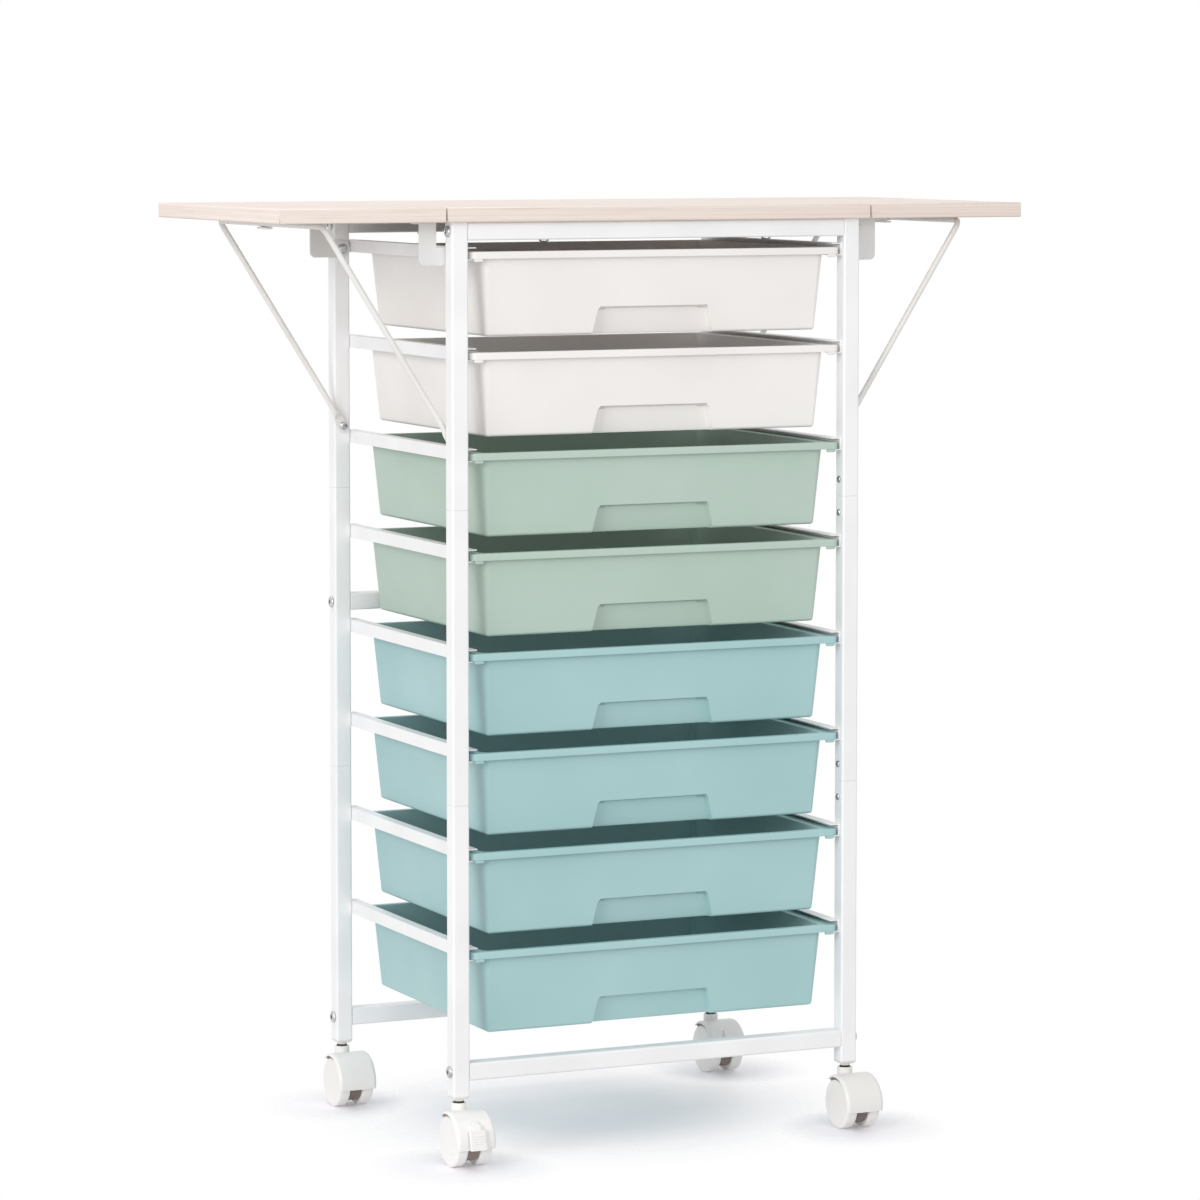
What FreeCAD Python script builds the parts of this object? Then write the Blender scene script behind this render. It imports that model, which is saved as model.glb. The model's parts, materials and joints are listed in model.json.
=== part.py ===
"""Rolling drawer cart: a tube frame on four casters, eight moulded drawers and a top with two drop leaves.

Millimetres, +Z up. The origin is on the floor, at the middle of the cart's outline seen from above.
The drawers' fronts face -Y.
"""

import FreeCAD, Part
import math
import os
import re
import Sketcher

# How a sketch numbers its origin and a line's or arc's points.
ORIGIN = -1
START, END, CENTRE = range(1, 4)

doc = FreeCAD.newDocument("rolling_drawer_cart")
sheet = doc.addObject("Spreadsheet::Sheet", "Sizes")

# Driving dimensions. Each one is a cell of the sheet, under its own name.
SIZES = {
    # frame
    "frame_width": 455.0,
    "frame_depth": 340.0,
    "table_height": 960.0,
    "tube_size": 18.0,
    "tube_wall": 1.2,
    "tube_corner": 2.0,
    "upper_seam_height": 658.5,
    "lower_seam_height": 362.0,
    "bottom_rail_height": 83.0,
    "middle_rail_height": 528.0,
    # top
    "board_thickness": 15.0,
    "board_end_overhang": 9.0,
    "board_side_overhang": 8.1,
    "leaf_width": 176.1,
    "seam_gap": 0.8,
    "board_edge_bevel": 0.8,
    # drawer rails
    "drawer_count": 8,
    "first_rail_drop": 7.0,
    "last_rail_height": 216.5,
    "rail_height": 13.0,
    "rail_wall": 1.2,
    "rail_flange": 11.0,
    "rail_front_setback": 6.0,
    "rail_rear_setback": 2.0,
    # drawers
    "drawer_height": 85.0,
    "drawer_front_setback": 2.5,
    "drawer_rear_clearance": 3.5,
    "drawer_wall": 2.0,
    "rim_height": 7.2,
    "rim_width": 13.8,
    "rim_end_width": 5.5,
    "rim_corner": 6.0,
    "rim_side_clearance": 2.5,
    "rim_clearance": 0.2,
    "tub_draft": 5.5,
    "tub_corner": 20.0,
    "recess_top_width": 122.0,
    "recess_bottom_width": 134.0,
    "recess_height": 27.0,
    "recess_depth": 18.0,
    "stop_tab_width": 10.0,
    "stop_tab_height": 4.4,
    "stop_clearance": 0.3,
    # leaf hinges
    "hinge_pivot_drop": 34.5,
    "hinge_plate_wall": 2.0,
    "hinge_side_clearance": 0.3,
    "hinge_outer_reach": 36.3,
    "hinge_notch_reach": 17.9,
    "hinge_arm_top": 9.6,
    "hinge_tab_radius": 8.8,
    "hinge_plate_corner": 6.0,
    "hinge_flange_depth": 26.0,
    "hinge_flange_corner": 4.0,
    # braces
    "brace_pivot_drop": 220.8,
    "brace_length": 257.1,
    "brace_rod": 6.0,
    "brace_bend": 9.0,
    "brace_tab_width": 13.0,
    "brace_tab_wall": 3.0,
    "brace_tab_reach": 15.0,
    "brace_flare": 9.0,
    "brace_side_clearance": 0.3,
    "brace_top_clearance": 0.5,
    "catch_shift": 20.0,
    "catch_length": 29.0,
    "catch_width": 22.0,
    "catch_wall": 2.0,
    "catch_lip": 1.0,
    "catch_clearance": 0.3,
    "catch_lip_clearance": 0.9,
    # fasteners and fits
    "running_fit": 0.05,
    "pivot_shoulder": 6.0,
    "pivot_head": 8.0,
    "pivot_head_height": 2.2,
    "pivot_head_gap": 0.2,
    "frame_screw_head": 12.0,
    "frame_screw_head_height": 3.4,
    "frame_screw_socket": 4.0,
    "board_screw_head": 10.0,
    "board_screw_head_height": 2.4,
    "board_screw_spacing": 248.0,
    "joint_screw_head": 7.0,
    "joint_screw_head_height": 2.2,
    "joint_screw_offset": 17.2,
    "sleeve_length": 60.0,
    "sleeve_wall": 1.2,
    "sleeve_clearance": 0.1,
    # casters
    "plug_flange": 3.0,
    "plug_bottom_height": 64.5,
    "plug_insert": 15.0,
    "plug_bevel": 2.2,
    "stem_size": 8.0,
    "stem_bottom_height": 45.0,
    "stem_ring": 12.5,
    "stem_ring_height": 3.5,
    "swivel_clearance": 0.3,
    "wheel_size": 52.0,
    "wheel_half_gap": 6.5,
    "wheel_half_width": 20.5,
    "wheel_shoulder": 3.0,
    "core_size": 41.0,
    "core_half_width": 5.8,
    "axle_size": 5.0,
    "axle_half_length": 14.5,
    "axle_end_gap": 0.5,
    "caster_trail": 18.0,
    "hood_radius": 30.2,
    "hood_wall": 2.6,
    "hood_half_width": 21.2,
    "hood_bevel": 1.6,
    "hood_flats": 10,
    "core_flats": 16,
    "hood_front_angle": 9.5,
    "hood_rear_angle": 52.0,
    "web_half_width": 1.9,
    "collar_size": 17.5,
    "socket_floor": 2.0,
    "pedal_width": 18.0,
    "pedal_wall": 1.8,
    "pedal_stand_off": 4.0,
    "pedal_top_height": 41.5,
    "pedal_bottom_height": 21.5,
    "pedal_knee_reach": 47.8,
    "pedal_corner": 2.5,
    "pedal_tab_width": 7.0,
    "pedal_tab_reach": 38.8,
    "pedal_tab_top_height": 49.0,
    "pedal_ribs": 3,
    "pedal_rib": 1.2,
    "pedal_rib_pitch": 4.5,
    "pedal_pivot_height": 43.0,
    "pedal_pivot_radius": 24.0,
    "pedal_pin": 3.0,
    "pedal_lug": 2.0,
    "pedal_lug_radius": 2.8,
    "pedal_space": 0.5,
    "pedal_slot_drop": 8.0,
    "lug_clearance": 0.4,
}
for row, (name, value) in enumerate(SIZES.items(), start=1):
    sheet.set("A%d" % row, name)
    sheet.set("B%d" % row, str(value))
    sheet.setAlias("B%d" % row, name)
doc.recompute()


def cells(formula):
    """The formula with the sheet's name put before each size in it."""
    return re.sub(r"[a-z][a-z_]+", lambda word: "Sizes." + word[0] if word[0] in SIZES else word[0], formula)


def number(formula):
    """The formula's value."""
    return float(sheet.evalExpression(cells(formula)))


def bind(item, **formulas):
    """Ties properties to formulas; a double underscore in a name stands for a dot."""
    for target, formula in formulas.items():
        item.setExpression(target.replace("__", "."), cells(formula))


def place(item, x="0", y="0", z="0"):
    """Ties an item's place to three formulas."""
    bind(item, Placement__Base__x=x, Placement__Base__y=y, Placement__Base__z=z)


def new_body(name):
    """An empty body under its own name."""
    body = doc.addObject("PartDesign::Body", name)
    body.Label = name
    return body


def new_sketch(body, plane, offset="0"):
    """A sketch on one of the body's own planes, moved along the plane's normal."""
    sketch = body.newObject("Sketcher::SketchObject", body.Name + "_sketch")
    base = next(item for item in body.Origin.OriginFeatures if item.Role == plane + "_Plane")
    sketch.AttachmentSupport = [(base, "")]
    sketch.MapMode = "FlatFace"
    bind(sketch, AttachmentOffset__Base__z=offset)
    return sketch


def tie(sketch, constraint, formula):
    """Adds a constraint whose value is a formula."""
    index = sketch.addConstraint(Sketcher.Constraint(*constraint, number(formula)))
    sketch.setExpression("Constraints[%d]" % index, cells(formula))


def lock(sketch, geometry, point, x, y):
    """Ties a point of the sketch to two formulas, measured from the sketch's origin."""
    tie(sketch, ("DistanceX", ORIGIN, START, geometry, point), x)
    tie(sketch, ("DistanceY", ORIGIN, START, geometry, point), y)


def arc_between(first, last, radius, side):
    """The short arc between two points. It bulges to the right of its run where side is 1, to the left at -1."""
    chord = last - first
    right = FreeCAD.Vector(chord.y, -chord.x, 0).normalize()
    centre = (first + last) * 0.5 - right * side * math.sqrt(radius**2 - (chord.Length / 2) ** 2)
    start, end = (first, last) if side > 0 else (last, first)
    angles = [math.atan2(point.y - centre.y, point.x - centre.x) for point in (start, end)]
    circle = Part.Circle(centre, FreeCAD.Vector(0, 0, 1), radius)
    return Part.ArcOfCircle(circle, angles[0], angles[1] if angles[1] > angles[0] else angles[1] + 2 * math.pi)


def outline(sketch, corners):
    """Draws a closed outline through corners (x, y). A corner (x, y, radius, side) starts an arc."""
    path(sketch, corners + corners[:1])


def path(sketch, corners):
    """Draws a line from corner to corner, as outline does. It is closed where it ends at its first corner."""
    points = [FreeCAD.Vector(number(corner[0]), number(corner[1]), 0) for corner in corners]
    ends = []
    for index, corner in enumerate(corners[:-1]):
        first, last = points[index], points[index + 1]
        if len(corner) == 2:
            geometry = sketch.addGeometry(Part.LineSegment(first, last), False)
            ends.append((geometry, START, END))
        else:
            geometry = sketch.addGeometry(arc_between(first, last, number(corner[2]), corner[3]), False)
            ends.append((geometry, START, END) if corner[3] > 0 else (geometry, END, START))
    closed = corners[-1] == corners[0]
    for index, (geometry, first, last) in enumerate(ends):
        lock(sketch, geometry, first, corners[index][0], corners[index][1])
        if closed or index + 1 < len(ends):
            following = ends[(index + 1) % len(ends)]
            sketch.addConstraint(Sketcher.Constraint("Coincident", geometry, last, following[0], following[1]))
        else:
            lock(sketch, geometry, last, corners[-1][0], corners[-1][1])
        if len(corners[index]) > 2:
            tie(sketch, ("Radius", geometry), corners[index][2])


def soft_rectangle(sketch, left, right, low, high, radius, flats):
    """An outline of four sides. Each of its round corners is drawn as a few flats."""
    corners = []
    for x, y, first in ((right, low, 270), (right, high, 0), (left, high, 90), (left, low, 180)):
        across, up = (-1 if x == right else 1), (-1 if y == high else 1)
        for step in range(flats + 1):
            turn = first + step * 90 / flats
            corners.append(("(%s) + (%s) * (%d + cos(%g))" % (x, radius, across, turn),
                            "(%s) + (%s) * (%d + sin(%g))" % (y, radius, up, turn)))
    outline(sketch, corners)


def rectangle(sketch, left, right, low, high):
    """An outline of four sides."""
    outline(sketch, [(left, low), (right, low), (right, high), (left, high)])


def regular(sketch, x, y, width, sides):
    """A regular outline with an even number of sides. Its width is from flat to flat."""
    across = "(%s / 2 / cos(180 / %d))" % (width, sides)
    turns = ["(360 / %d * (%d + 1 / 2))" % (sides, index) for index in range(sides)]
    outline(sketch, [("%s + %s * cos(%s)" % (x, across, turn), "%s + %s * sin(%s)" % (y, across, turn))
                     for turn in turns])


def circle(sketch, x, y, diameter):
    """A circle whose centre and diameter are formulas."""
    centre = FreeCAD.Vector(number(x), number(y), 0)
    shape = Part.Circle(centre, FreeCAD.Vector(0, 0, 1), number(diameter) / 2)
    geometry = sketch.addGeometry(shape, False)
    lock(sketch, geometry, CENTRE, x, y)
    tie(sketch, ("Diameter", geometry), diameter)


def feature(body, kind, sketch, **formulas):
    """A feature of the body made from a sketch."""
    made = body.newObject("PartDesign::" + kind, body.Name + "_" + kind.lower())
    made.Profile = sketch
    bind(made, **formulas)
    body.Tip = made
    return made


def pad(body, sketch, length, **formulas):
    """Raises the sketch along its normal."""
    return feature(body, "Pad", sketch, Length=length, **formulas)


def pocket(body, sketch, length, back=False):
    """Cuts the sketch into the body, along its normal or against it."""
    doc.recompute()
    before = body.Shape.Volume
    made = feature(body, "Pocket", sketch, Length=length)
    made.Reversed = not back
    doc.recompute()
    if body.Shape.Volume >= before:
        raise ValueError("a pocket of %s cuts nothing" % body.Label)
    return made


def bevelled(body, size, chosen):
    """Bevels the edges of the body that a test picks."""
    doc.recompute()
    base = body.Tip
    names = ["Edge%d" % index for index, edge in enumerate(base.Shape.Edges, start=1) if chosen(edge)]
    made = body.newObject("PartDesign::Chamfer", body.Name + "_edges")
    made.Base = (base, names)
    bind(made, Size=size)
    body.Tip = made
    return made


def copied(name, source, x, y, z, turn=0, axis=(0, 0, 1)):
    """A copy of a solid, turned about an axis and then moved."""
    made = doc.addObject("Part::Compound", name)
    made.Label = name
    made.Links = [source]
    made.Placement.Rotation = FreeCAD.Rotation(FreeCAD.Vector(*axis), turn)
    place(made, x, "%s + %s" % (y, STAND), z)
    return made


def gathered(name, pieces):
    """Several alike solids as one sub-part."""
    made = doc.addObject("Part::Compound", name)
    made.Label = name
    made.Links = pieces
    return made


def signed(sign, formula):
    """The formula, or its negative."""
    return "(%s)" % formula if sign > 0 else "-(%s)" % formula


SIDES = (("left", -1), ("right", 1))
ENDS = (("front", -1), ("rear", 1))

# Places that several sub-parts share, measured from the middle of the frame.
POST_X = "(frame_width - tube_size) / 2"
POST_Y = "(frame_depth - tube_size) / 2"
INNER_X = "(frame_width / 2 - tube_size)"
INNER_Y = "(frame_depth / 2 - tube_size)"
BOARD_BOTTOM = "(table_height - board_thickness)"
BOARD_HALF_DEPTH = "(frame_depth / 2 + board_end_overhang)"
BOARD_HALF_WIDTH = "(frame_width / 2 + board_side_overhang)"
TUBE_INSIDE = "(tube_size / 2 - tube_wall)"
LEAF_PIVOT_HEIGHT = "(table_height - board_thickness - hinge_pivot_drop)"
BRACE_PIVOT_HEIGHT = "(table_height - board_thickness - brace_pivot_drop)"
TOP_RAIL_HEIGHT = "(table_height - board_thickness - tube_size / 2)"
MIDDLE_RAIL_HEIGHT = "(middle_rail_height + tube_size / 2)"
BOTTOM_RAIL_HEIGHT = "(bottom_rail_height + tube_size / 2)"

# The front caster's pedal reaches further than the top does behind, so the frame stands behind the origin.
CASTER_REACH = "(caster_trail + hood_radius + pedal_stand_off + pedal_wall)"
STAND = "(%s + %s - %s) / 2" % (POST_Y, CASTER_REACH, BOARD_HALF_DEPTH)

kept = []


def keep(*items):
    """Marks sub-parts of the finished cart."""
    kept.extend(items)


def board(name, left, width):
    """One board of the top, from its left edge."""
    body = new_body(name)
    sketch = new_sketch(body, "XY", BOARD_BOTTOM)
    right = "(%s) + (%s)" % (left, width)
    rectangle(sketch, left, right, "-" + BOARD_HALF_DEPTH, BOARD_HALF_DEPTH)
    pad(body, sketch, "board_thickness")
    bevelled(body, "board_edge_bevel", lambda edge: True)
    place(body, y=STAND)
    return body


def boards():
    """The fixed board and the two leaves beside it."""
    edge = "(%s + seam_gap)" % BOARD_HALF_WIDTH
    keep(board("centre_board", "-" + BOARD_HALF_WIDTH, "2 * " + BOARD_HALF_WIDTH),
         board("leaf_left_board", "-%s - leaf_width" % edge, "leaf_width"),
         board("leaf_right_board", edge, "leaf_width"))


def tube(name, plane, low, length):
    """A length of square tube about an axis of its body, with round outer corners."""
    body = new_body(name)
    sketch = new_sketch(body, plane, low)
    half, inside = "tube_size / 2", TUBE_INSIDE
    soft_rectangle(sketch, "-" + half, half, "-" + half, half, "tube_corner", 2)
    rectangle(sketch, "-" + inside, inside, "-" + inside, inside)
    pad(body, sketch, length)
    return body


def posts():
    """Four posts, each of three lengths of tube."""
    tiers = (
        ("top", "upper_seam_height", BOARD_BOTTOM),
        ("middle", "lower_seam_height", "upper_seam_height"),
        ("bottom", "plug_bottom_height + plug_flange", "lower_seam_height"),
    )
    for side, x_side in SIDES:
        for end, y_side in ENDS:
            for tier, low, high in tiers:
                body = tube("post_%s_%s_%s" % (end, side, tier), "XY", low, "%s - (%s)" % (high, low))
                place(body, signed(x_side, POST_X), "%s + %s" % (signed(y_side, POST_Y), STAND))
                keep(body)


def cross_rails():
    """Two rails in front and three behind, each from post to post."""
    for name, y_side, height in (
        ("top_front_rail", -1, TOP_RAIL_HEIGHT),
        ("top_rear_rail", 1, TOP_RAIL_HEIGHT),
        ("middle_rear_rail", 1, MIDDLE_RAIL_HEIGHT),
        ("bottom_front_rail", -1, BOTTOM_RAIL_HEIGHT),
        ("bottom_rear_rail", 1, BOTTOM_RAIL_HEIGHT),
    ):
        body = tube(name, "YZ", "-" + INNER_X, "2 * " + INNER_X)
        place(body, "0", "%s + %s" % (signed(y_side, POST_Y), STAND), height)
        keep(body)


FIRST_RAIL_HEIGHT = "(table_height - board_thickness - tube_size - first_rail_drop)"
DRAWER_PITCH = "((%s - last_rail_height) / (drawer_count - 1))" % FIRST_RAIL_HEIGHT


def rail_top(index):
    """The height of a drawer rail's top, counted from the highest."""
    return "%s - %d * %s" % (FIRST_RAIL_HEIGHT, index, DRAWER_PITCH)


def drawer_rails(side, x_side):
    """One side's channels, which open inwards and are welded to both posts."""
    form = new_body("drawer_rail_form_" + side)
    sketch = new_sketch(form, "XZ", "rail_rear_setback - frame_depth / 2")
    profile = [
        ("0", "0"),
        ("rail_flange", "0"),
        ("rail_flange", "-rail_wall"),
        ("rail_wall", "-rail_wall"),
        ("rail_wall", "rail_wall - rail_height"),
        ("rail_flange", "rail_wall - rail_height"),
        ("rail_flange", "-rail_height"),
        ("0", "-rail_height"),
    ]
    outline(sketch, [(signed(-x_side, across), up) for across, up in profile])
    pad(form, sketch, "frame_depth - rail_rear_setback - rail_front_setback")
    channels = [
        copied("drawer_rail_%s_%d" % (side, index + 1), form, signed(x_side, INNER_X), "0", rail_top(index))
        for index in range(int(number("drawer_count")))
    ]
    keep(gathered("drawer_rails_" + side, channels))


def screw_head(name, size, height, socket=None, shoulder=None, shoulder_length="0"):
    """A screw's head, which rises along +X from its seat. A round shoulder may carry it off the seat."""
    form = new_body(name)
    if shoulder:
        neck = new_sketch(form, "YZ")
        circle(neck, "0", "0", shoulder)
        pad(form, neck, shoulder_length)
    head = new_sketch(form, "YZ", shoulder_length)
    regular(head, "0", "0", size, 12)
    pad(form, head, height)
    if socket:
        key = new_sketch(form, "YZ", "%s + %s" % (shoulder_length, height))
        regular(key, "0", "0", socket, 6)
        pocket(form, key, "%s / 2" % socket, back=True)
    return form


def corner_copies(name, source, z, turns):
    """One copy at each post's axis. Turns gives the angle for each side and end."""
    return [
        copied("%s_%s_%s" % (name, end, side), source, signed(x_side, POST_X), signed(y_side, POST_Y), z,
               turns(x_side, y_side))
        for side, x_side in SIDES
        for end, y_side in ENDS
    ]


def joints():
    """The sleeves inside the posts, and the heads of the screws above and below each seam."""
    sleeve = new_body("sleeve_form")
    sketch = new_sketch(sleeve, "XY", "-sleeve_length / 2")
    outer = "(%s - sleeve_clearance)" % TUBE_INSIDE
    inner = "(%s - sleeve_wall)" % outer
    rectangle(sketch, "-" + outer, outer, "-" + outer, outer)
    rectangle(sketch, "-" + inner, inner, "-" + inner, inner)
    pad(sleeve, sketch, "sleeve_length")
    fastener = screw_head("joint_screw_form", "joint_screw_head", "joint_screw_head_height")
    sleeves, screws = [], []
    for tier, seam in (("upper", "upper_seam_height"), ("lower", "lower_seam_height")):
        sleeves += corner_copies("sleeve_" + tier, sleeve, seam, lambda *sides: 0)
        for side, x_side in SIDES:
            for end, y_side in ENDS:
                for where, offset in (("above", "joint_screw_offset"), ("below", "-joint_screw_offset")):
                    label = "joint_screw_%s_%s_%s_%s" % (tier, where, end, side)
                    screws.append(copied(label, fastener, signed(x_side, INNER_X), signed(y_side, POST_Y),
                                         "%s + %s" % (seam, offset), 90 + 90 * x_side))
    keep(gathered("post_sleeves", sleeves), gathered("sleeve_screws", screws))


def frame_screws():
    """The heads of the screws through the posts into the rails, and of those up into the fixed board."""
    rail_screw = screw_head("frame_screw_form", "frame_screw_head", "frame_screw_head_height", "frame_screw_socket")
    board_screw = screw_head("board_screw_form", "board_screw_head", "board_screw_head_height")
    ends = (("top", -1, TOP_RAIL_HEIGHT), ("top", 1, TOP_RAIL_HEIGHT), ("middle", 1, MIDDLE_RAIL_HEIGHT),
            ("bottom", -1, BOTTOM_RAIL_HEIGHT), ("bottom", 1, BOTTOM_RAIL_HEIGHT))
    screws = []
    for side, x_side in SIDES:
        for level, y_side, height in ends:
            label = "rail_screw_%s_%s_%d" % (side, level, y_side + 1)
            screws.append(copied(label, rail_screw, signed(x_side, "frame_width / 2"), signed(y_side, POST_Y),
                                 height, 90 - 90 * x_side))
        for end, y_side in ENDS:
            screws.append(copied("board_screw_%s_%s" % (side, end), board_screw,
                                 signed(x_side, "board_screw_spacing / 2"), signed(y_side, POST_Y),
                                 BOARD_BOTTOM + " - tube_size", 90, (0, 1, 0)))
    keep(gathered("frame_screws", screws))


def pivots():
    """Shoulder screws on the posts' inner faces: one for each leaf plate and one for each brace leg."""
    screws = []
    for use, height, thickness in (
        ("leaf", LEAF_PIVOT_HEIGHT, "hinge_side_clearance + hinge_plate_wall"),
        ("brace", BRACE_PIVOT_HEIGHT, "brace_side_clearance + brace_tab_wall"),
    ):
        form = screw_head("pivot_form_" + use, "pivot_head", "pivot_head_height", None, "pivot_shoulder",
                          "(%s + pivot_head_gap)" % thickness)
        for side, x_side in SIDES:
            for end, y_side in ENDS:
                screws.append(copied("pivot_%s_%s_%s" % (use, end, side), form, signed(x_side, POST_X),
                                     signed(y_side, INNER_Y), height, -90 * y_side))
    keep(gathered("pivot_screws", screws))


def hinge_plate(side, x_side, end, y_side):
    """A cranked plate: its tab turns on the post's pivot, and its flange is screwed under the leaf."""
    body = new_body("hinge_plate_%s_%s" % (end, side))
    outer_face = "(%s - hinge_side_clearance)" % INNER_Y
    near = outer_face + " - hinge_plate_wall" if y_side < 0 else "-" + outer_face
    sketch = new_sketch(body, "XZ", near)
    bulge = -x_side
    radius, corner, reach = "hinge_tab_radius", "hinge_plate_corner", "hinge_outer_reach"
    profile = [
        ("0", "hinge_arm_top"),
        ("hinge_notch_reach", "hinge_arm_top"),
        ("hinge_notch_reach", "hinge_pivot_drop"),
        (reach, "hinge_pivot_drop"),
        (reach, "%s - %s" % (corner, radius), corner, bulge),
        ("%s - %s" % (reach, corner), "-" + radius),
        ("0", "-" + radius, radius, bulge),
        ("-" + radius, "0", radius, bulge),
        ("0", radius),
    ]
    outline(sketch, [(signed(x_side, item[0]),) + tuple(item[1:]) for item in profile])
    circle(sketch, "0", "0", "pivot_shoulder + 2 * running_fit")
    pad(body, sketch, "hinge_plate_wall")
    flange = new_sketch(body, "XY", "hinge_pivot_drop - hinge_plate_wall")
    left, right = sorted((signed(x_side, "hinge_notch_reach"), signed(x_side, reach)), key=number)
    low, high = sorted((signed(y_side, outer_face), signed(y_side, outer_face + " - hinge_flange_depth")),
                       key=number)
    outline(flange, [(left, low), (right, low), (right, high), (left, high)])
    pad(body, flange, "hinge_plate_wall")
    inner_end = number(signed(y_side, outer_face + " - hinge_flange_depth"))
    bevelled(body, "hinge_flange_corner",
          lambda edge: edge.Length < number("hinge_plate_wall") * 1.01
          and all(abs(point.Point.y - inner_end) < 0.01 for point in edge.Vertexes))
    place(body, signed(x_side, POST_X), STAND, LEAF_PIVOT_HEIGHT)
    return body


CROSSBAR_HEIGHT = "(table_height - board_thickness - brace_top_clearance - brace_rod / 2)"
BRACE_RISE = "(%s - %s)" % (CROSSBAR_HEIGHT, BRACE_PIVOT_HEIGHT)
BRACE_ANGLE = "acos(%s / brace_length)" % BRACE_RISE
CROSSBAR_REACH = "sqrt(brace_length^2 - %s^2)" % BRACE_RISE


def catch(side, x_side):
    """A plastic clip under the leaf, whose jaw stands round the crossbar and is open outwards."""
    body = new_body("brace_catch_" + side)
    sketch = new_sketch(body, "XZ", "-catch_shift - catch_length / 2")
    top = "(brace_rod / 2 + brace_top_clearance)"
    jaw = "-(brace_rod / 2 + catch_clearance)"
    lip = "-(brace_rod / 2 + catch_lip_clearance)"
    profile = [
        ("-catch_width", top),
        (jaw, top),
        (jaw, lip),
        ("catch_lip", lip),
        ("catch_lip", lip + " - catch_wall"),
        (jaw + " - catch_wall", lip + " - catch_wall"),
        (jaw + " - catch_wall", top + " - catch_wall"),
        ("-catch_width", top + " - catch_wall"),
    ]
    outline(sketch, [(signed(x_side, out), up) for out, up in profile])
    pad(body, sketch, "catch_length")
    place(body, signed(x_side, "%s + %s" % (POST_X, CROSSBAR_REACH)), STAND, CROSSBAR_HEIGHT)
    return body


def brace(side, x_side):
    """A rod bent to a U. Its two ends are flattened and turn on the posts; its crossbar lies under the leaf."""
    body = new_body("brace_" + side)
    outer_face = "(%s - brace_side_clearance)" % INNER_Y
    line = "(%s - brace_rod / 2)" % outer_face
    route = new_sketch(body, "YZ")
    bend = "brace_bend"
    path(route, [
        ("-" + line, "brace_tab_reach"),
        ("-" + line, "brace_length - " + bend, bend, -1),
        ("%s - %s" % (bend, line), "brace_length"),
        ("%s - %s" % (line, bend), "brace_length", bend, -1),
        (line, "brace_length - " + bend),
        (line, "brace_tab_reach"),
    ])
    section = new_sketch(body, "XY", "brace_tab_reach")
    regular(section, "0", "-" + line, "brace_rod", 8)
    rod = body.newObject("PartDesign::AdditivePipe", body.Name + "_rod")
    rod.Profile = section
    rod.Spine = (route, ["Edge%d" % index for index in range(1, route.GeometryCount + 1)])
    body.Tip = rod
    half = "brace_tab_width / 2"
    for y_side in (-1, 1):
        flat = outer_face + " - brace_tab_wall" if y_side < 0 else "-" + outer_face
        tab = new_sketch(body, "XZ", flat)
        outline(tab, [
            ("-" + half, "0", half, 1),
            ("0", "-" + half, half, 1),
            (half, "0"),
            (half, "brace_tab_reach - brace_flare"),
            ("-" + half, "brace_tab_reach - brace_flare"),
        ])
        circle(tab, "0", "0", "pivot_shoulder + 2 * running_fit")
        pad(body, tab, "brace_tab_wall")
        flat_end = new_sketch(body, "XY", "brace_tab_reach - brace_flare")
        low, high = sorted((signed(y_side, outer_face), signed(y_side, outer_face + " - brace_tab_wall")),
                           key=number)
        rectangle(flat_end, "-" + half, half, low, high)
        round_end = new_sketch(body, "XY", "brace_tab_reach")
        inset = "brace_rod / 8"
        low, high = sorted((signed(y_side, outer_face), signed(y_side, outer_face + " - brace_rod")), key=number)
        rectangle(round_end, "%s - brace_rod / 2" % inset, "brace_rod / 2 - " + inset, low + " + " + inset,
                  high + " - " + inset)
        flare = body.newObject("PartDesign::AdditiveLoft", body.Name + "_flare")
        flare.Profile = flat_end
        flare.Sections = [round_end]
        flare.Ruled = True
        body.Tip = flare
    place(body, signed(x_side, POST_X), STAND, BRACE_PIVOT_HEIGHT)
    body.Placement.Rotation = FreeCAD.Rotation(FreeCAD.Vector(0, x_side, 0), number(BRACE_ANGLE))
    bind(body, Placement__Rotation__Angle=BRACE_ANGLE)
    return body


def leaf_gear():
    """What carries each leaf: two hinge plates, a brace and its catch."""
    for side, x_side in SIDES:
        plates = [hinge_plate(side, x_side, end, y_side) for end, y_side in ENDS]
        keep(gathered("leaf_hinge_plates_" + side, plates), catch(side, x_side), brace(side, x_side))


RIM_HALF = "(%s - rail_wall - rim_side_clearance)" % INNER_X
RIM_FRONT = "(drawer_front_setback - frame_depth / 2)"
RIM_REAR = "(%s - drawer_rear_clearance)" % INNER_Y


def tub(name, wall):
    """The tapered tub with the finger recess in its front, as a solid whose faces lie inside by a wall."""
    body = new_body(name)
    half = "(%s - rim_width - %s)" % (RIM_HALF, wall)
    front, rear = "(%s + rim_end_width + %s)" % (RIM_FRONT, wall), "(%s - rim_end_width - %s)" % (RIM_REAR, wall)
    sketch = new_sketch(body, "XY", "drawer_height")
    soft_rectangle(sketch, "-" + half, half, front, rear, "tub_corner - " + wall, 2)
    outside = pad(body, sketch, "drawer_height - " + wall, TaperAngle="-tub_draft")
    outside.Reversed = True
    recess = new_sketch(body, "XZ", "-" + front)
    low, high = "(recess_bottom_width / 2 + %s)" % wall, "(recess_top_width / 2 + %s)" % wall
    top = "recess_height + " + wall
    outline(recess, [("-" + low, "0"), (low, "0"), (high, top), ("-" + high, top)])
    pocket(body, recess, "recess_depth", back=True)
    return body


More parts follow.
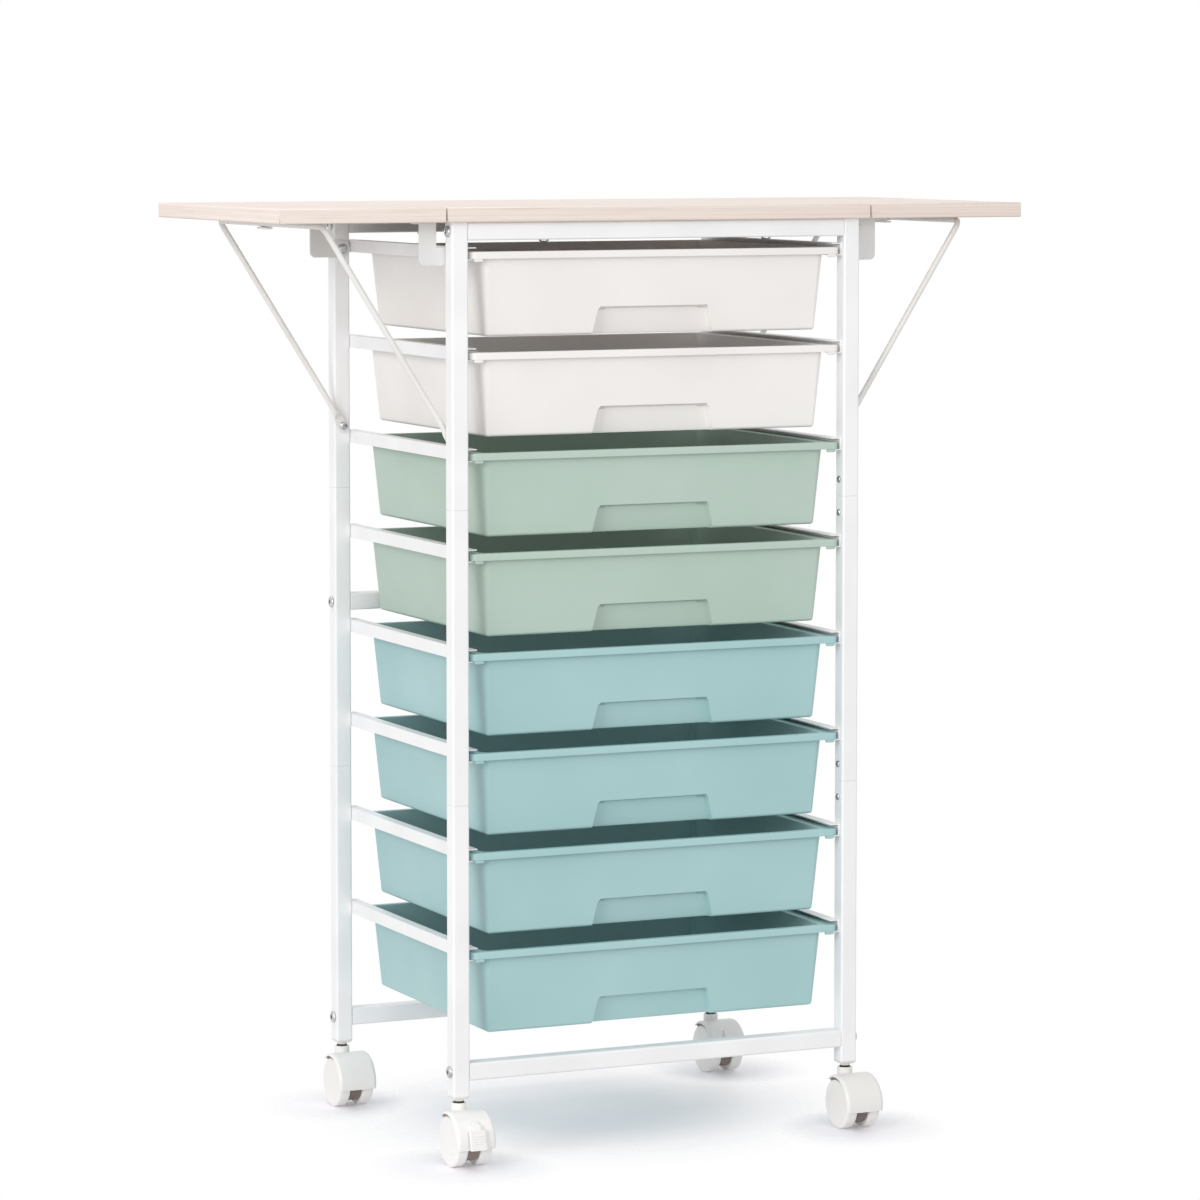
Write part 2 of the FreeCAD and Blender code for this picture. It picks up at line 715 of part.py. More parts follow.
def drawer_form():
    """A moulded drawer: the hollowed tub, and a turned-down rim with two stops under its front."""
    body, cavity = tub("drawer_form", "0"), tub("drawer_cavity", "drawer_wall")
    hollow = body.newObject("PartDesign::Boolean", "drawer_form_hollow")
    hollow.Group = [cavity]
    hollow.Type = "Cut"
    body.Tip = hollow
    doc.recompute()
    rim_half, front, rear = RIM_HALF, RIM_FRONT, RIM_REAR
    opening = "(%s - rim_width - drawer_wall)" % rim_half
    end_wall = "rim_end_width + drawer_wall"
    lip = "(%s - drawer_wall)" % rim_half
    for thick, low, inside in (
        ("drawer_wall", "drawer_height - drawer_wall",
         (opening, "%s + %s" % (front, end_wall), "%s - (%s)" % (rear, end_wall), "tub_corner - drawer_wall", 2)),
        ("rim_height", "drawer_height - rim_height",
         (lip, front + " + drawer_wall", rear + " - drawer_wall", "rim_corner - drawer_wall", 2)),
    ):
        ring = new_sketch(body, "XY", low)
        soft_rectangle(ring, "-" + rim_half, rim_half, front, rear, "rim_corner", 2)
        soft_rectangle(ring, "-" + inside[0], *inside)
        pad(body, ring, thick)
    for x_side in (-1, 1):
        stop = new_sketch(body, "XY", "drawer_height - rim_height - stop_tab_height")
        near = "(%s - rim_width)" % rim_half
        left, right = sorted((signed(x_side, near), signed(x_side, near + " + stop_tab_width")), key=number)
        depth = front + " + rail_front_setback - drawer_front_setback - stop_clearance"
        outline(stop, [(left, front), (right, front), (right, depth), (left, depth)])
        pad(body, stop, "stop_tab_height")
    return body


def drawers():
    """The eight drawers, each hanging by its rim in a pair of rails."""
    form = drawer_form()
    hang = "(rail_height - rail_wall - rim_clearance - rim_height + drawer_height)"
    for index in range(int(number("drawer_count"))):
        keep(copied("drawer_%d" % (index + 1), form, "0", "0", "%s - %s" % (rail_top(index), hang)))


AXLE_HEIGHT = "(wheel_size / 2)"
PEDAL_PIVOT = "-(caster_trail + sqrt(pedal_pivot_radius^2 - (pedal_pivot_height - %s)^2))" % AXLE_HEIGHT


HOOD_TURN = "(180 - hood_rear_angle + hood_front_angle)"


def hood_corner(radius, index, y, z):
    """A corner between two of the hood's flats, at a radius from the axle. Corner 0 is at the hood's front."""
    turn = "(%s * %d / hood_flats - hood_front_angle)" % (HOOD_TURN, index)
    return ("%s - %s * cos(%s)" % (y, radius, turn), "%s + %s * sin(%s)" % (z, radius, turn))


def round_axle(radius, y, z):
    """Corners all round the axle at a radius. Between the hood's two ends they are at the hood's own corners."""
    corners = [hood_corner(radius, index, y, z) for index in range(int(number("hood_flats")))]
    for index in range(int(number("core_flats"))):
        turn = "(180 - hood_rear_angle + (360 - %s) * %d / core_flats)" % (HOOD_TURN, index)
        corners.append(("%s - %s * cos(%s)" % (y, radius, turn), "%s + %s * sin(%s)" % (z, radius, turn)))
    return corners


def housing(name, braked):
    """A caster's hood, closed between its wheels, with a socket for the stem. The stem's axis is local Z."""
    body = new_body(name)
    axle, hood_flats = ("-caster_trail", AXLE_HEIGHT), int(number("hood_flats"))
    fan = new_sketch(body, "YZ", "-hood_half_width")
    outline(fan, [axle] + [hood_corner("hood_radius", index, *axle) for index in range(hood_flats + 1)])
    pad(body, fan, "2 * hood_half_width")
    side, rim, y, z = (number(size) for size in ("hood_half_width", "hood_radius") + axle)

    def on_rim(point):
        return abs(abs(point.x) - side) < 0.01 and abs(math.hypot(point.y - y, point.z - z) - rim) < 0.01

    bevelled(body, "hood_bevel",
             lambda edge: edge.Length < side and all(on_rim(end.Point) for end in edge.Vertexes))
    collar = new_sketch(body, "XY", "stem_bottom_height - socket_floor")
    regular(collar, "0", "0", "collar_size", 12)
    pad(body, collar, "plug_bottom_height - stem_ring_height - swivel_clearance - stem_bottom_height + socket_floor")
    inside = "((hood_radius - hood_wall) / cos(%s / hood_flats / 2))" % HOOD_TURN
    for near, width, radius in (
        ("-hood_half_width", "hood_half_width - core_half_width", inside),
        ("core_half_width", "hood_half_width - core_half_width", inside),
        ("-core_half_width", "2 * core_half_width", "core_size / 2"),
    ):
        well = new_sketch(body, "YZ", near)
        outline(well, round_axle(radius, *axle))
        pocket(body, well, width)
    socket = new_sketch(body, "XY", "stem_bottom_height")
    circle(socket, "0", "0", "stem_size + 2 * running_fit")
    pocket(body, socket, "hood_radius")
    if braked:
        pin = new_sketch(body, "YZ", "-web_half_width")
        circle(pin, PEDAL_PIVOT, "pedal_pivot_height", "pedal_pin + 2 * running_fit")
        pocket(body, pin, "2 * web_half_width")
        space, reach = "(pedal_lug_radius + pedal_space)", "(caster_trail + 2 * hood_radius)"
        for low in ("-(web_half_width + pedal_lug + 2 * lug_clearance)", "web_half_width"):
            slot = new_sketch(body, "YZ", low)
            outline(slot, [
                ("%s + %s" % (PEDAL_PIVOT, space), "pedal_pivot_height - " + space),
                ("%s + %s" % (PEDAL_PIVOT, space), "pedal_pivot_height + " + space),
                ("-" + reach, "pedal_pivot_height + " + space),
                ("-" + reach, "pedal_pivot_height - pedal_slot_drop"),
            ])
            pocket(body, slot, "pedal_lug + 2 * lug_clearance")
    return body


def wheel():
    """A wheel on its own axis, bored for the axle from its inner face. Its outer face looks along local +X."""
    body = new_body("wheel_form")
    tread = new_sketch(body, "YZ", "wheel_half_gap")
    regular(tread, "0", "0", "wheel_size", 32)
    pad(body, tread, "wheel_half_width - wheel_half_gap")
    outer_face = number("wheel_half_width")
    bevelled(body, "wheel_shoulder",
             lambda edge: all(abs(end.Point.x - outer_face) < 0.01 for end in edge.Vertexes))
    bore = new_sketch(body, "YZ", "wheel_half_gap")
    circle(bore, "0", "0", "axle_size + 2 * running_fit")
    pocket(body, bore, "axle_half_length + axle_end_gap - wheel_half_gap")
    return body


def pedal():
    """A brake pedal: a ribbed plate with a narrow tab above it, two lugs and the pin that they turn on."""
    body = new_body("pedal_form")
    foot = "(caster_trail + hood_radius + pedal_stand_off)"
    knee, tab = "pedal_knee_reach", "pedal_tab_reach"
    knee_height, foot_height, tab_height = "pedal_top_height", "pedal_bottom_height", "pedal_tab_top_height"

    def sheet_part(near, near_height, far, far_height, width):
        sketch = new_sketch(body, "YZ", "-%s / 2" % width)
        outline(sketch, [
            ("-" + near, near_height),
            ("-(%s + pedal_wall)" % near, near_height),
            ("-(%s + pedal_wall)" % far, far_height),
            ("-" + far, far_height),
        ])
        pad(body, sketch, width)

    sheet_part(knee, knee_height, foot, foot_height, "pedal_width")
    bevelled(body, "pedal_corner",
          lambda edge: number("pedal_wall") * 0.9 < edge.Length < number("pedal_wall") * 1.1)
    sheet_part(tab, tab_height, knee, knee_height, "pedal_tab_width")
    for index in range(int(number("pedal_ribs"))):
        height = "(%s + pedal_rib_pitch * (%d + 1))" % (foot_height, index)
        slope = "((%s - %s) / (%s - %s))" % (foot, knee, knee_height, foot_height)

        def face(level):
            return "(%s + pedal_wall - (%s - %s) * %s)" % (foot, level, foot_height, slope)

        above, below = "(%s + pedal_rib / 2)" % height, "(%s - pedal_rib / 2)" % height
        rib = new_sketch(body, "YZ", "pedal_rib - pedal_width / 2")
        outline(rib, [
            ("-(%s - pedal_rib)" % face(above), above),
            ("-(%s + pedal_rib / 2)" % face(above), above),
            ("-(%s + pedal_rib / 2)" % face(below), below),
            ("-(%s - pedal_rib)" % face(below), below),
        ])
        pad(body, rib, "pedal_width - 2 * pedal_rib")
    high, low = ("(pedal_pivot_height %s pedal_lug_radius)" % sign for sign in "+-")
    reach_high = "(%s + (%s - %s) * (%s - %s) / (%s - %s) + pedal_wall / 2)" % (
        tab, knee, tab, tab_height, high, tab_height, knee_height)
    for offset in ("-(web_half_width + lug_clearance + pedal_lug)", "web_half_width + lug_clearance"):
        lug = new_sketch(body, "YZ", offset)
        outline(lug, [
            (PEDAL_PIVOT, low, "pedal_lug_radius", 1),
            (PEDAL_PIVOT, high),
            ("-" + reach_high, high),
            ("-(%s + pedal_wall / 2)" % knee, knee_height),
            ("-(%s + pedal_wall / 2)" % knee, low),
        ])
        pad(body, lug, "pedal_lug")
    pin = new_sketch(body, "YZ", "-(web_half_width + lug_clearance + pedal_lug / 2)")
    circle(pin, PEDAL_PIVOT, "pedal_pivot_height", "pedal_pin")
    pad(body, pin, "2 * (web_half_width + lug_clearance + pedal_lug / 2)")
    return body


def casters():
    """The four casters. Each has a plug and a stem under its post, a swivelling housing, a core and two wheels."""
    plug = new_body("plug_form")
    flange = new_sketch(plug, "XY")
    rectangle(flange, "-tube_size / 2", "tube_size / 2", "-tube_size / 2", "tube_size / 2")
    pad(plug, flange, "plug_flange")
    bevelled(plug, "plug_bevel", lambda edge: max(end.Point.z for end in edge.Vertexes) < 0.01)
    insert = new_sketch(plug, "XY", "plug_flange")
    fit = "(%s - sleeve_clearance)" % TUBE_INSIDE
    rectangle(insert, "-" + fit, fit, "-" + fit, fit)
    pad(plug, insert, "plug_insert")
    stem = new_body("stem_form")
    pin = new_sketch(stem, "XY", "stem_bottom_height")
    circle(pin, "0", "0", "stem_size")
    pad(stem, pin, "plug_bottom_height - stem_bottom_height")
    ring = new_sketch(stem, "XY", "plug_bottom_height - stem_ring_height")
    regular(ring, "0", "0", "stem_ring", 12)
    pad(stem, ring, "stem_ring_height")
    core = new_body("core_form")
    axle = new_sketch(core, "YZ", "-axle_half_length")
    circle(axle, "0", "0", "axle_size")
    pad(core, axle, "2 * axle_half_length")
    drum = new_sketch(core, "YZ", "-core_half_width")
    outline(drum, round_axle("core_size / 2", "0", "0"))
    pad(core, drum, "2 * core_half_width")
    housings = {braked: housing("housing_form_%s" % braked, braked) for braked in (False, True)}
    wheel_form, pedal_form = wheel(), pedal()
    keep(gathered("post_end_plugs", corner_copies("plug", plug, "plug_bottom_height", lambda *sides: 0)))
    keep(gathered("caster_stems", corner_copies("stem", stem, "0", lambda *sides: 0)))
    for side, x_side in SIDES:
        for end, y_side in ENDS:
            x, y, name = signed(x_side, POST_X), signed(y_side, POST_Y), "caster_%s_%s_" % (end, side)
            braked = x_side == y_side
            behind = y + " - caster_trail"
            keep(copied(name + "housing", housings[braked], x, y, "0"),
                 copied(name + "core", core, x, behind, AXLE_HEIGHT),
                 copied(name + "outer_wheel", wheel_form, x, behind, AXLE_HEIGHT, 90 - 90 * x_side),
                 copied(name + "inner_wheel", wheel_form, x, behind, AXLE_HEIGHT, 90 + 90 * x_side))
            if braked:
                keep(copied(name + "brake_pedal", pedal_form, x, y, "0"))


boards()
posts()
cross_rails()
for side, x_side in SIDES:
    drawer_rails(side, x_side)
joints()
frame_screws()
pivots()
leaf_gear()
drawers()
casters()

doc.recompute()
faulty = [item.Name for item in doc.Objects if "Invalid" in item.State or "Error" in item.State]
faulty += [item.Label for item in kept if item.Shape.isNull() or not item.Shape.isValid()]
if faulty:
    raise ValueError("not sound: %s" % ", ".join(faulty))
os.makedirs("parts", exist_ok=True)
for item in kept:
    item.Shape.exportStep("parts/%s.step" % item.Label)
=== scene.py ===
"""The looks of the rolling drawer cart: moulded drawers, painted tube frame, laminated top and twin-wheel
casters.

Shapes are worked out in millimetres on the frame's axes: X across, Y from the front to the rear, Z up.
Places that the frame fixes are read from it, and the other sizes are named in the section of their own
piece."""

import json
import math

import bmesh
import bpy
import numpy as np
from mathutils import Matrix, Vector


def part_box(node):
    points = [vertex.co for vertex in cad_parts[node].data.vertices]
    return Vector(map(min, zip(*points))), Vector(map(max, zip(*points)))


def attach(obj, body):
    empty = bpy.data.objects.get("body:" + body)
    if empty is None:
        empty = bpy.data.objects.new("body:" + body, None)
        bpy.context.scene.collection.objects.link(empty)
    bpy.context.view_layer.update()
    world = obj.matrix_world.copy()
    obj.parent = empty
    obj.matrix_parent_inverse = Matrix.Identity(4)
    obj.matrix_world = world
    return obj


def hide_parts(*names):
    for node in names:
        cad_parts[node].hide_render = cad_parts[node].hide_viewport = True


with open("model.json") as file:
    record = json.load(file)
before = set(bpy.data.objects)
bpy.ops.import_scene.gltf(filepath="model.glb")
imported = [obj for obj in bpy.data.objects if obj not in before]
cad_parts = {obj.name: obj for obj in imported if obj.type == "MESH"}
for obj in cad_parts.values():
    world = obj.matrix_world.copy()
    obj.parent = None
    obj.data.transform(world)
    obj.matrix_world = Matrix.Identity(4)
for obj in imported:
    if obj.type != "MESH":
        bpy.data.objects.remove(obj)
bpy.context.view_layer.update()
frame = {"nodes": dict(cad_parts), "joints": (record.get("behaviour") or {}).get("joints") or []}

MM = 0.001
SIDES = (("left", -1), ("right", 1))
ENDS = (("front", -1), ("rear", 1))
WHITE = (1.0, 1.0, 1.0, 1.0)


# Places taken from the frame


def millimetres(metres):
    """Lengths in millimetres, to the nearest hundredth, which drops the noise of stored numbers."""
    return np.round(np.array(metres, float) / MM, 2)


def node_box(node):
    """The low and the high corner of a node of the frame."""
    return [millimetres(corner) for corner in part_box(node)]


PIVOTS = {joint["name"]: millimetres(joint["pos_m"]) for joint in frame["joints"] if joint.get("pos_m")}
HINGE_Z = PIVOTS["leaf_left_fold"][2]
BRACE_Z = PIVOTS["brace_left_swing"][2]

post_low, post_high = node_box("post_front_right_top")
rear_low, rear_high = node_box("post_rear_right_top")
TUBE_HALF = (post_high[0] - post_low[0]) / 2
POST_X = (post_low[0] + post_high[0]) / 2
POST_Y = (rear_low[1] - post_low[1]) / 2
MIDDLE_Y = (rear_high[1] + post_low[1]) / 2
BOARD_BOTTOM = post_high[2]
SEAMS = (post_low[2], node_box("post_front_right_middle")[0][2])


# Materials


def linear(code):
    """The linear red, green and blue of a colour written as six hexadecimal digits."""
    shown = np.array([int(code[i : i + 2], 16) / 255 for i in (0, 2, 4)])
    return (*np.where(shown <= 0.04045, shown / 12.92, ((shown + 0.055) / 1.055) ** 2.4), 1.0)


class Nodes:
    """A tree of shader nodes."""

    def __init__(self, tree):
        self.tree = tree

    def feed(self, socket, value):
        """Gives an input a value, or a link from an output."""
        if isinstance(value, bpy.types.NodeSocket):
            self.tree.links.new(value, socket)
        else:
            socket.default_value = value

    def add(self, kind, inputs=(), **settings):
        """One shader node, with its settings and with values or links on its inputs."""
        node = self.tree.nodes.new("ShaderNode" + kind)
        for key, value in settings.items():
            setattr(node, key, value)
        for key, value in dict(inputs).items():
            self.feed(node.inputs[key], value)
        return node

    def maths(self, operation, first, second=0.0):
        """One sum on one or two values."""
        return self.add("Math", {0: first, 1: second}, operation=operation).outputs[0]


class Finish(Nodes):
    """A procedural material, built node by node on Object coordinates."""

    def __init__(self, name, roughness, metallic=0.0, coat=0.0):
        self.material = bpy.data.materials.new(name)
        self.material.use_nodes = True
        super().__init__(self.material.node_tree)
        self.shader = self.tree.nodes["Principled BSDF"]
        self.shader.inputs["Roughness"].default_value = roughness
        self.shader.inputs["Metallic"].default_value = metallic
        self.shader.inputs["Coat Weight"].default_value = coat
        self.shader.inputs["Coat Roughness"].default_value = 0.2
        self.place = self.add("TexCoord").outputs["Object"]

    def noise(self, scale, detail=3.0, place=None, low=0.35, high=0.65):
        """Noise at a scale in waves per metre, spread so that low becomes 0 and high becomes 1."""
        noise = self.add("TexNoise", {"Vector": place or self.place, "Scale": scale, "Detail": detail})
        spread = {"Value": noise.outputs["Fac"], "From Min": low, "From Max": high}
        return self.add("MapRange", spread).outputs["Result"]

    def grain(self, waves, detail, place, low, high):
        """Noise with its own number of waves per metre along each axis."""
        stretched = self.add("Mapping", {"Vector": place, "Scale": waves}).outputs["Vector"]
        return self.noise(1.0, detail, stretched, low, high)

    def mixed(self, factor, first, second):
        """A colour between two, by a factor."""
        return self.add("Mix", {0: factor, 6: first, 7: second}, data_type="RGBA").outputs[2]

    def colour(self, value):
        """The base colour, plain or from a pattern."""
        self.feed(self.shader.inputs["Base Color"], value)

    def rough(self, value, low, high):
        """Roughness from low to high, by a value from 0 to 1."""
        spread = self.add("MapRange", {"Value": value, "To Min": low, "To Max": high})
        self.feed(self.shader.inputs["Roughness"], spread.outputs["Result"])

    def bump(self, height, depth):
        """Relief of a depth in metres."""
        relief = self.add("Bump", {"Height": height, "Distance": depth, "Strength": 1.0})
        self.feed(self.shader.inputs["Normal"], relief.outputs["Normal"])


def moulded(name, light, dark, roughness, relief=0.000012):
    """Moulded plastic: a fine spark-eroded grain, faint flow shading and slightly uneven gloss."""
    finish = Finish(name, roughness)
    flow = finish.noise(6.0, 4.0)
    finish.colour(finish.mixed(flow, linear(light), linear(dark)))
    finish.rough(flow, roughness - 0.05, roughness + 0.08)
    finish.bump(finish.noise(2200.0, 2.0), relief)
    return finish.material


def enamelled(name, light, dark, roughness):
    """Powder-coated steel: a faint orange-peel surface under an even coat."""
    finish = Finish(name, roughness, coat=0.15)
    flow = finish.noise(14.0)
    finish.colour(finish.mixed(flow, linear(light), linear(dark)))
    finish.rough(flow, roughness - 0.04, roughness + 0.06)
    finish.bump(finish.noise(320.0, 2.0), 0.000006)
    return finish.material


def bare_steel(name, light, dark):
    """Plated steel, mottled in colour and more finely in gloss."""
    finish = Finish(name, 0.28, metallic=1.0)
    finish.colour(finish.mixed(finish.noise(160.0, 4.0), linear(light), linear(dark)))
    finish.rough(finish.noise(700.0), 0.2, 0.42)
    return finish.material


def laminated(name):
    """Pale wood laminate with broad bands, long fibres and short pores. Each is noise with few waves per
    metre along the board and many across it and through it. They run along X, and along Y on the faces that
    look along X."""
    finish = Finish(name, 0.42)
    place = finish.add("SeparateXYZ", {"Vector": finish.place}).outputs
    facing = finish.add("SeparateXYZ", {"Vector": finish.add("TexCoord").outputs["Normal"]}).outputs["X"]
    on_end = finish.maths("GREATER_THAN", finish.maths("ABSOLUTE", facing), 0.7)
    turned_place = finish.add("CombineXYZ", {"X": place["Y"], "Y": place["X"], "Z": place["Z"]}).outputs[0]
    run = finish.add("Mix", {0: on_end, 4: finish.place, 5: turned_place}, data_type="VECTOR").outputs[1]
    bands = finish.grain((1.6, 26.0, 90.0), 3.0, run, 0.3, 0.7)
    fibres = finish.grain((3.0, 260.0, 480.0), 5.0, run, 0.36, 0.66)
    pores = finish.grain((16.0, 700.0, 1100.0), 2.0, run, 0.56, 0.68)
    shade = finish.mixed(bands, linear("f0e5dd"), linear("e6d6cc"))
    shade = finish.mixed(finish.maths("MULTIPLY", fibres, 0.45), shade, linear("d9c6ba"))
    shade = finish.mixed(finish.maths("MULTIPLY", pores, 0.2), shade, linear("bfa799"))
    finish.colour(shade)
    finish.rough(fibres, 0.36, 0.5)
    finish.bump(fibres, 0.00004)
    return finish.material


WOOD = laminated("pale_laminate")
PAINT = enamelled("white_powder_coat", "f7f7f8", "f1f1f2", 0.36)
# The hinge plates' grey is partly their own light grey paint and partly painted shade under the leaves.
PLATE_PAINT_GREY_AND_SHADED = enamelled("plate_grey_coat_and_painted_shade", "e4e3e1", "dddcda", 0.4)
# Painted shade: the rods' paint is greyer and warmer than the frame's white, for the braces' shade under
# the leaves.
SHADED_ROD_PAINT = enamelled("rod_coat_with_painted_shade", "ebe9e6", "e4e2df", 0.36)
STEEL = bare_steel("plated_steel", "cfd0d2", "a9abae")
# Painted shade: the stems' steel is dark so that the ring in each collar's mouth stands for the shade in
# the gap there.
STEM_STEEL_SHADED = bare_steel("stem_steel_painted_shade", "5c5855", "3e3b39")
CLIP = moulded("clip_plastic", "f2f1ef", "e9e8e6", 0.42)
CASTER = moulded("caster_plastic", "f1f0ee", "eae8e5", 0.26, 0.000005)
WHEEL = moulded("wheel_plastic", "f3f1ee", "edeae6", 0.3, 0.000005)
# The core's grey-brown is partly the core's own darker plastic and partly painted shade in the gap between
# the wheels; the sleeves of painted shade under the hood use it too.
CORE_AND_PAINTED_SHADE = moulded("caster_core_plastic", "8d8079", "776a64", 0.5)
WHITE_DRAWER = ("drawer_white", moulded("drawer_plastic_white", "f6f3f0", "f0ece9", 0.44))
SAGE_DRAWER = ("drawer_sage", moulded("drawer_plastic_sage", "bccfc4", "b4c8bb", 0.44))
TEAL_DRAWER = ("drawer_teal", moulded("drawer_plastic_teal", "accfd0", "a4c9ca", 0.44))


# Surfaces: every new shape is a stack of closed rings of points


def stacked(rings):
    """A shell through closed rings: its points, a quad between each pair of neighbours on each pair of
    rings, and the first and the last ring as flat ends."""
    count, around = rings.shape[:2]
    index = np.arange(count * around).reshape(count, around)
    ahead = np.roll(index, -1, axis=1)
    sides = np.stack([index[:-1], ahead[:-1], ahead[1:], index[1:]], axis=-1).reshape(-1, 4)
    return rings.reshape(-1, 3), sides, np.stack([index[0][::-1], index[-1]])


def circle(around, shift=0.0):
    """Angles evenly spaced around a full turn, moved on by a share of their spacing."""
    return (np.arange(around) + shift) * 2 * np.pi / around


def smooth_step(share):
    """3 s^2 - 2 s^3 of a share s kept between 0 and 1: it goes from 0 to 1 and is level at both ends."""
    share = np.clip(share, 0, 1)
    return share * share * (3 - 2 * share)


def arc(centre, radius, start, end, steps=6):
    """Points of a plane arc: the centre plus the radius times (cos, sin) of angles from start to end, in
    degrees."""
    angle = np.radians(np.linspace(start, end, steps + 1))
    return np.add(centre, radius * np.column_stack([np.cos(angle), np.sin(angle)]))


def turned(axis, along, radii, centre, around=48):
    """A turned shell. At the angle a, a row with the distance t and the radius r is the point t along the
    axis and (r cos a, r sin a) across it. A row of radii is one radius, or one for each angle."""
    angle, radii = circle(around), np.reshape(radii, (len(along), -1))
    first, second = [i for i in range(3) if i != axis]
    rings = np.empty((len(along), around, 3))
    rings[..., axis] = np.reshape(along, (-1, 1))
    rings[..., first] = radii * np.cos(angle)
    rings[..., second] = radii * np.sin(angle)
    return stacked(rings + centre)


def rounded_rectangles(half_x, half_y, radius, steps=6):
    """Plane rings, one for each value of the sizes: quarter arcs about four centres, each a radius in from
    a corner, with straight runs between them."""
    sizes = np.broadcast_arrays(half_x, half_y, radius)
    half_x, half_y, radius = (np.reshape(size, (-1, 1, 1)) for size in sizes)
    side_x, side_y = np.array([1, 1, -1, -1])[:, None], np.array([-1, 1, 1, -1])[:, None]
    angle = np.radians(np.array([-90, 0, 90, 180])[:, None] + np.linspace(0, 90, steps + 1))
    x = side_x * (half_x - radius) + radius * np.cos(angle)
    y = side_y * (half_y - radius) + radius * np.sin(angle)
    return np.stack([x.reshape(len(x), -1), y.reshape(len(y), -1)], axis=-1)


def upright(sections, heights):
    """Rings from plane sections, each set at its height."""
    level = np.broadcast_to(np.reshape(heights, (-1, 1, 1)), (*sections.shape[:2], 1))
    return np.concatenate([sections, level], axis=-1)


def shaded(mesh, sharp):
    """Smooth shading, broken at edges that turn by more than an angle in degrees."""
    mesh.polygons.foreach_set("use_smooth", np.ones(len(mesh.polygons), bool))
    mesh.set_sharp_from_angle(angle=math.radians(sharp))
    return mesh


def dressed(name, mesh, body, material, replaced):
    """An object with its material, which rides on its body and stands for a node of the frame."""
    made = bpy.data.objects.new(name, mesh)
    bpy.context.scene.collection.objects.link(made)
    made.data.materials.clear()
    made.data.materials.append(material)
    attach(made, body)
    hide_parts(replaced)
    return made


def flats_kept(made):
    """Weights the normals by area, so that flat faces look flat beside round edges."""
    made.modifiers.new("flat faces stay flat", "WEIGHTED_NORMAL").keep_sharp = True


def piece(name, shells, body, material, replaced, sharp=32.0):
    """One mesh of several closed shells, turned outwards."""
    points, faces, start = [], [], 0
    for shell_points, sides, ends in shells:
        points.append(shell_points)
        faces += (sides + start).tolist() + (ends + start).tolist()
        start += len(shell_points)
    mesh = bpy.data.meshes.new(name)
    mesh.from_pydata((np.vstack(points) * MM).tolist(), [], faces)
    outwards = bmesh.new()
    outwards.from_mesh(mesh)
    bmesh.ops.recalc_face_normals(outwards, faces=outwards.faces)
    outwards.to_mesh(mesh)
    outwards.free()
    flats_kept(dressed(name, shaded(mesh, sharp), body, material, replaced))


def eased(node, body, material, width, segments=3):
    """A copy of a node of the frame with its triangles merged to flat faces and its edges rounded off."""
    mesh = frame["nodes"][node].data.copy()
    merged = bmesh.new()
    merged.from_mesh(mesh)
    bmesh.ops.remove_doubles(merged, verts=merged.verts, dist=1e-6)
    bmesh.ops.dissolve_limit(merged, angle_limit=math.radians(0.5), verts=merged.verts, edges=merged.edges)
    merged.to_mesh(mesh)
    merged.free()
    corner_angle = 40
    made = dressed(node + "_eased", shaded(mesh, corner_angle), body, material, node)
    bevel = made.modifiers.new("edges", "BEVEL")
    bevel.width = width * MM
    bevel.segments = segments
    bevel.limit_method = "ANGLE"
    bevel.angle_limit = math.radians(corner_angle)
    flats_kept(made)


# Drawers

# Their places are counted from the frame's middle in Y and from the drawer's base in Z. Half is a half
# width in X, and front and rear are places in Y.

drawer_low, drawer_high = node_box("drawer_1")
DRAWER_HEIGHT = drawer_high[2] - drawer_low[2]
DRAWER_WALL = 2.0
TUB_DRAFT = math.tan(math.radians(5.5))
TUB_HALF, TUB_FRONT, TUB_REAR = 192.0, -162.0, 143.0
TUB_CORNER, TUB_CORNER_TAPER, TUB_CORNER_LEAST = 9.0, 5.5, 1.0

RECESS_HEIGHT = 27.0
RECESS_TOP_HALF, RECESS_FLARE = 61.0, 6.0
RECESS_BACK, RECESS_LEAN = -144.0, 0.2
RECESS_CORNER = 4.0
RECESS_EASE = 1.0

MOUTH = np.array([TUB_HALF - DRAWER_WALL, TUB_FRONT + DRAWER_WALL, TUB_REAR - DRAWER_WALL])
RIM = np.array([drawer_high[0], drawer_low[1] - MIDDLE_Y, drawer_high[1] - MIDDLE_Y])
# The rim's section, from the inside over its top and round its turned-down lip to the outside: the depth
# below the top, the share of the way out from the mouth to the rim's edge, and the corner's radius in plan.
RIM_SECTION = np.array([
    (0.35, 0.015, 7.5), (0.0, 0.05, 7.8), (0.0, 0.5, 7.2), (0.0, 0.90, 6.8), (0.25, 0.96, 6.3),
    (0.7, 0.99, 6.1), (1.4, 1.0, 6.0), (6.6, 1.0, 6.0), (7.1, 0.985, 5.8), (7.2, 0.95, 5.6),
    (7.2, 0.90, 5.2), (6.6, 0.87, 4.8), (2.6, 0.87, 4.8), (2.0, 0.84, 5.5), (2.0, 0.2, 8.8),
])
STOP_LOW, STOP_HIGH, STOP_RADIUS = np.array([192.2, -167.4, 74.8]), np.array([202.0, -164.3, 77.9]), 0.9


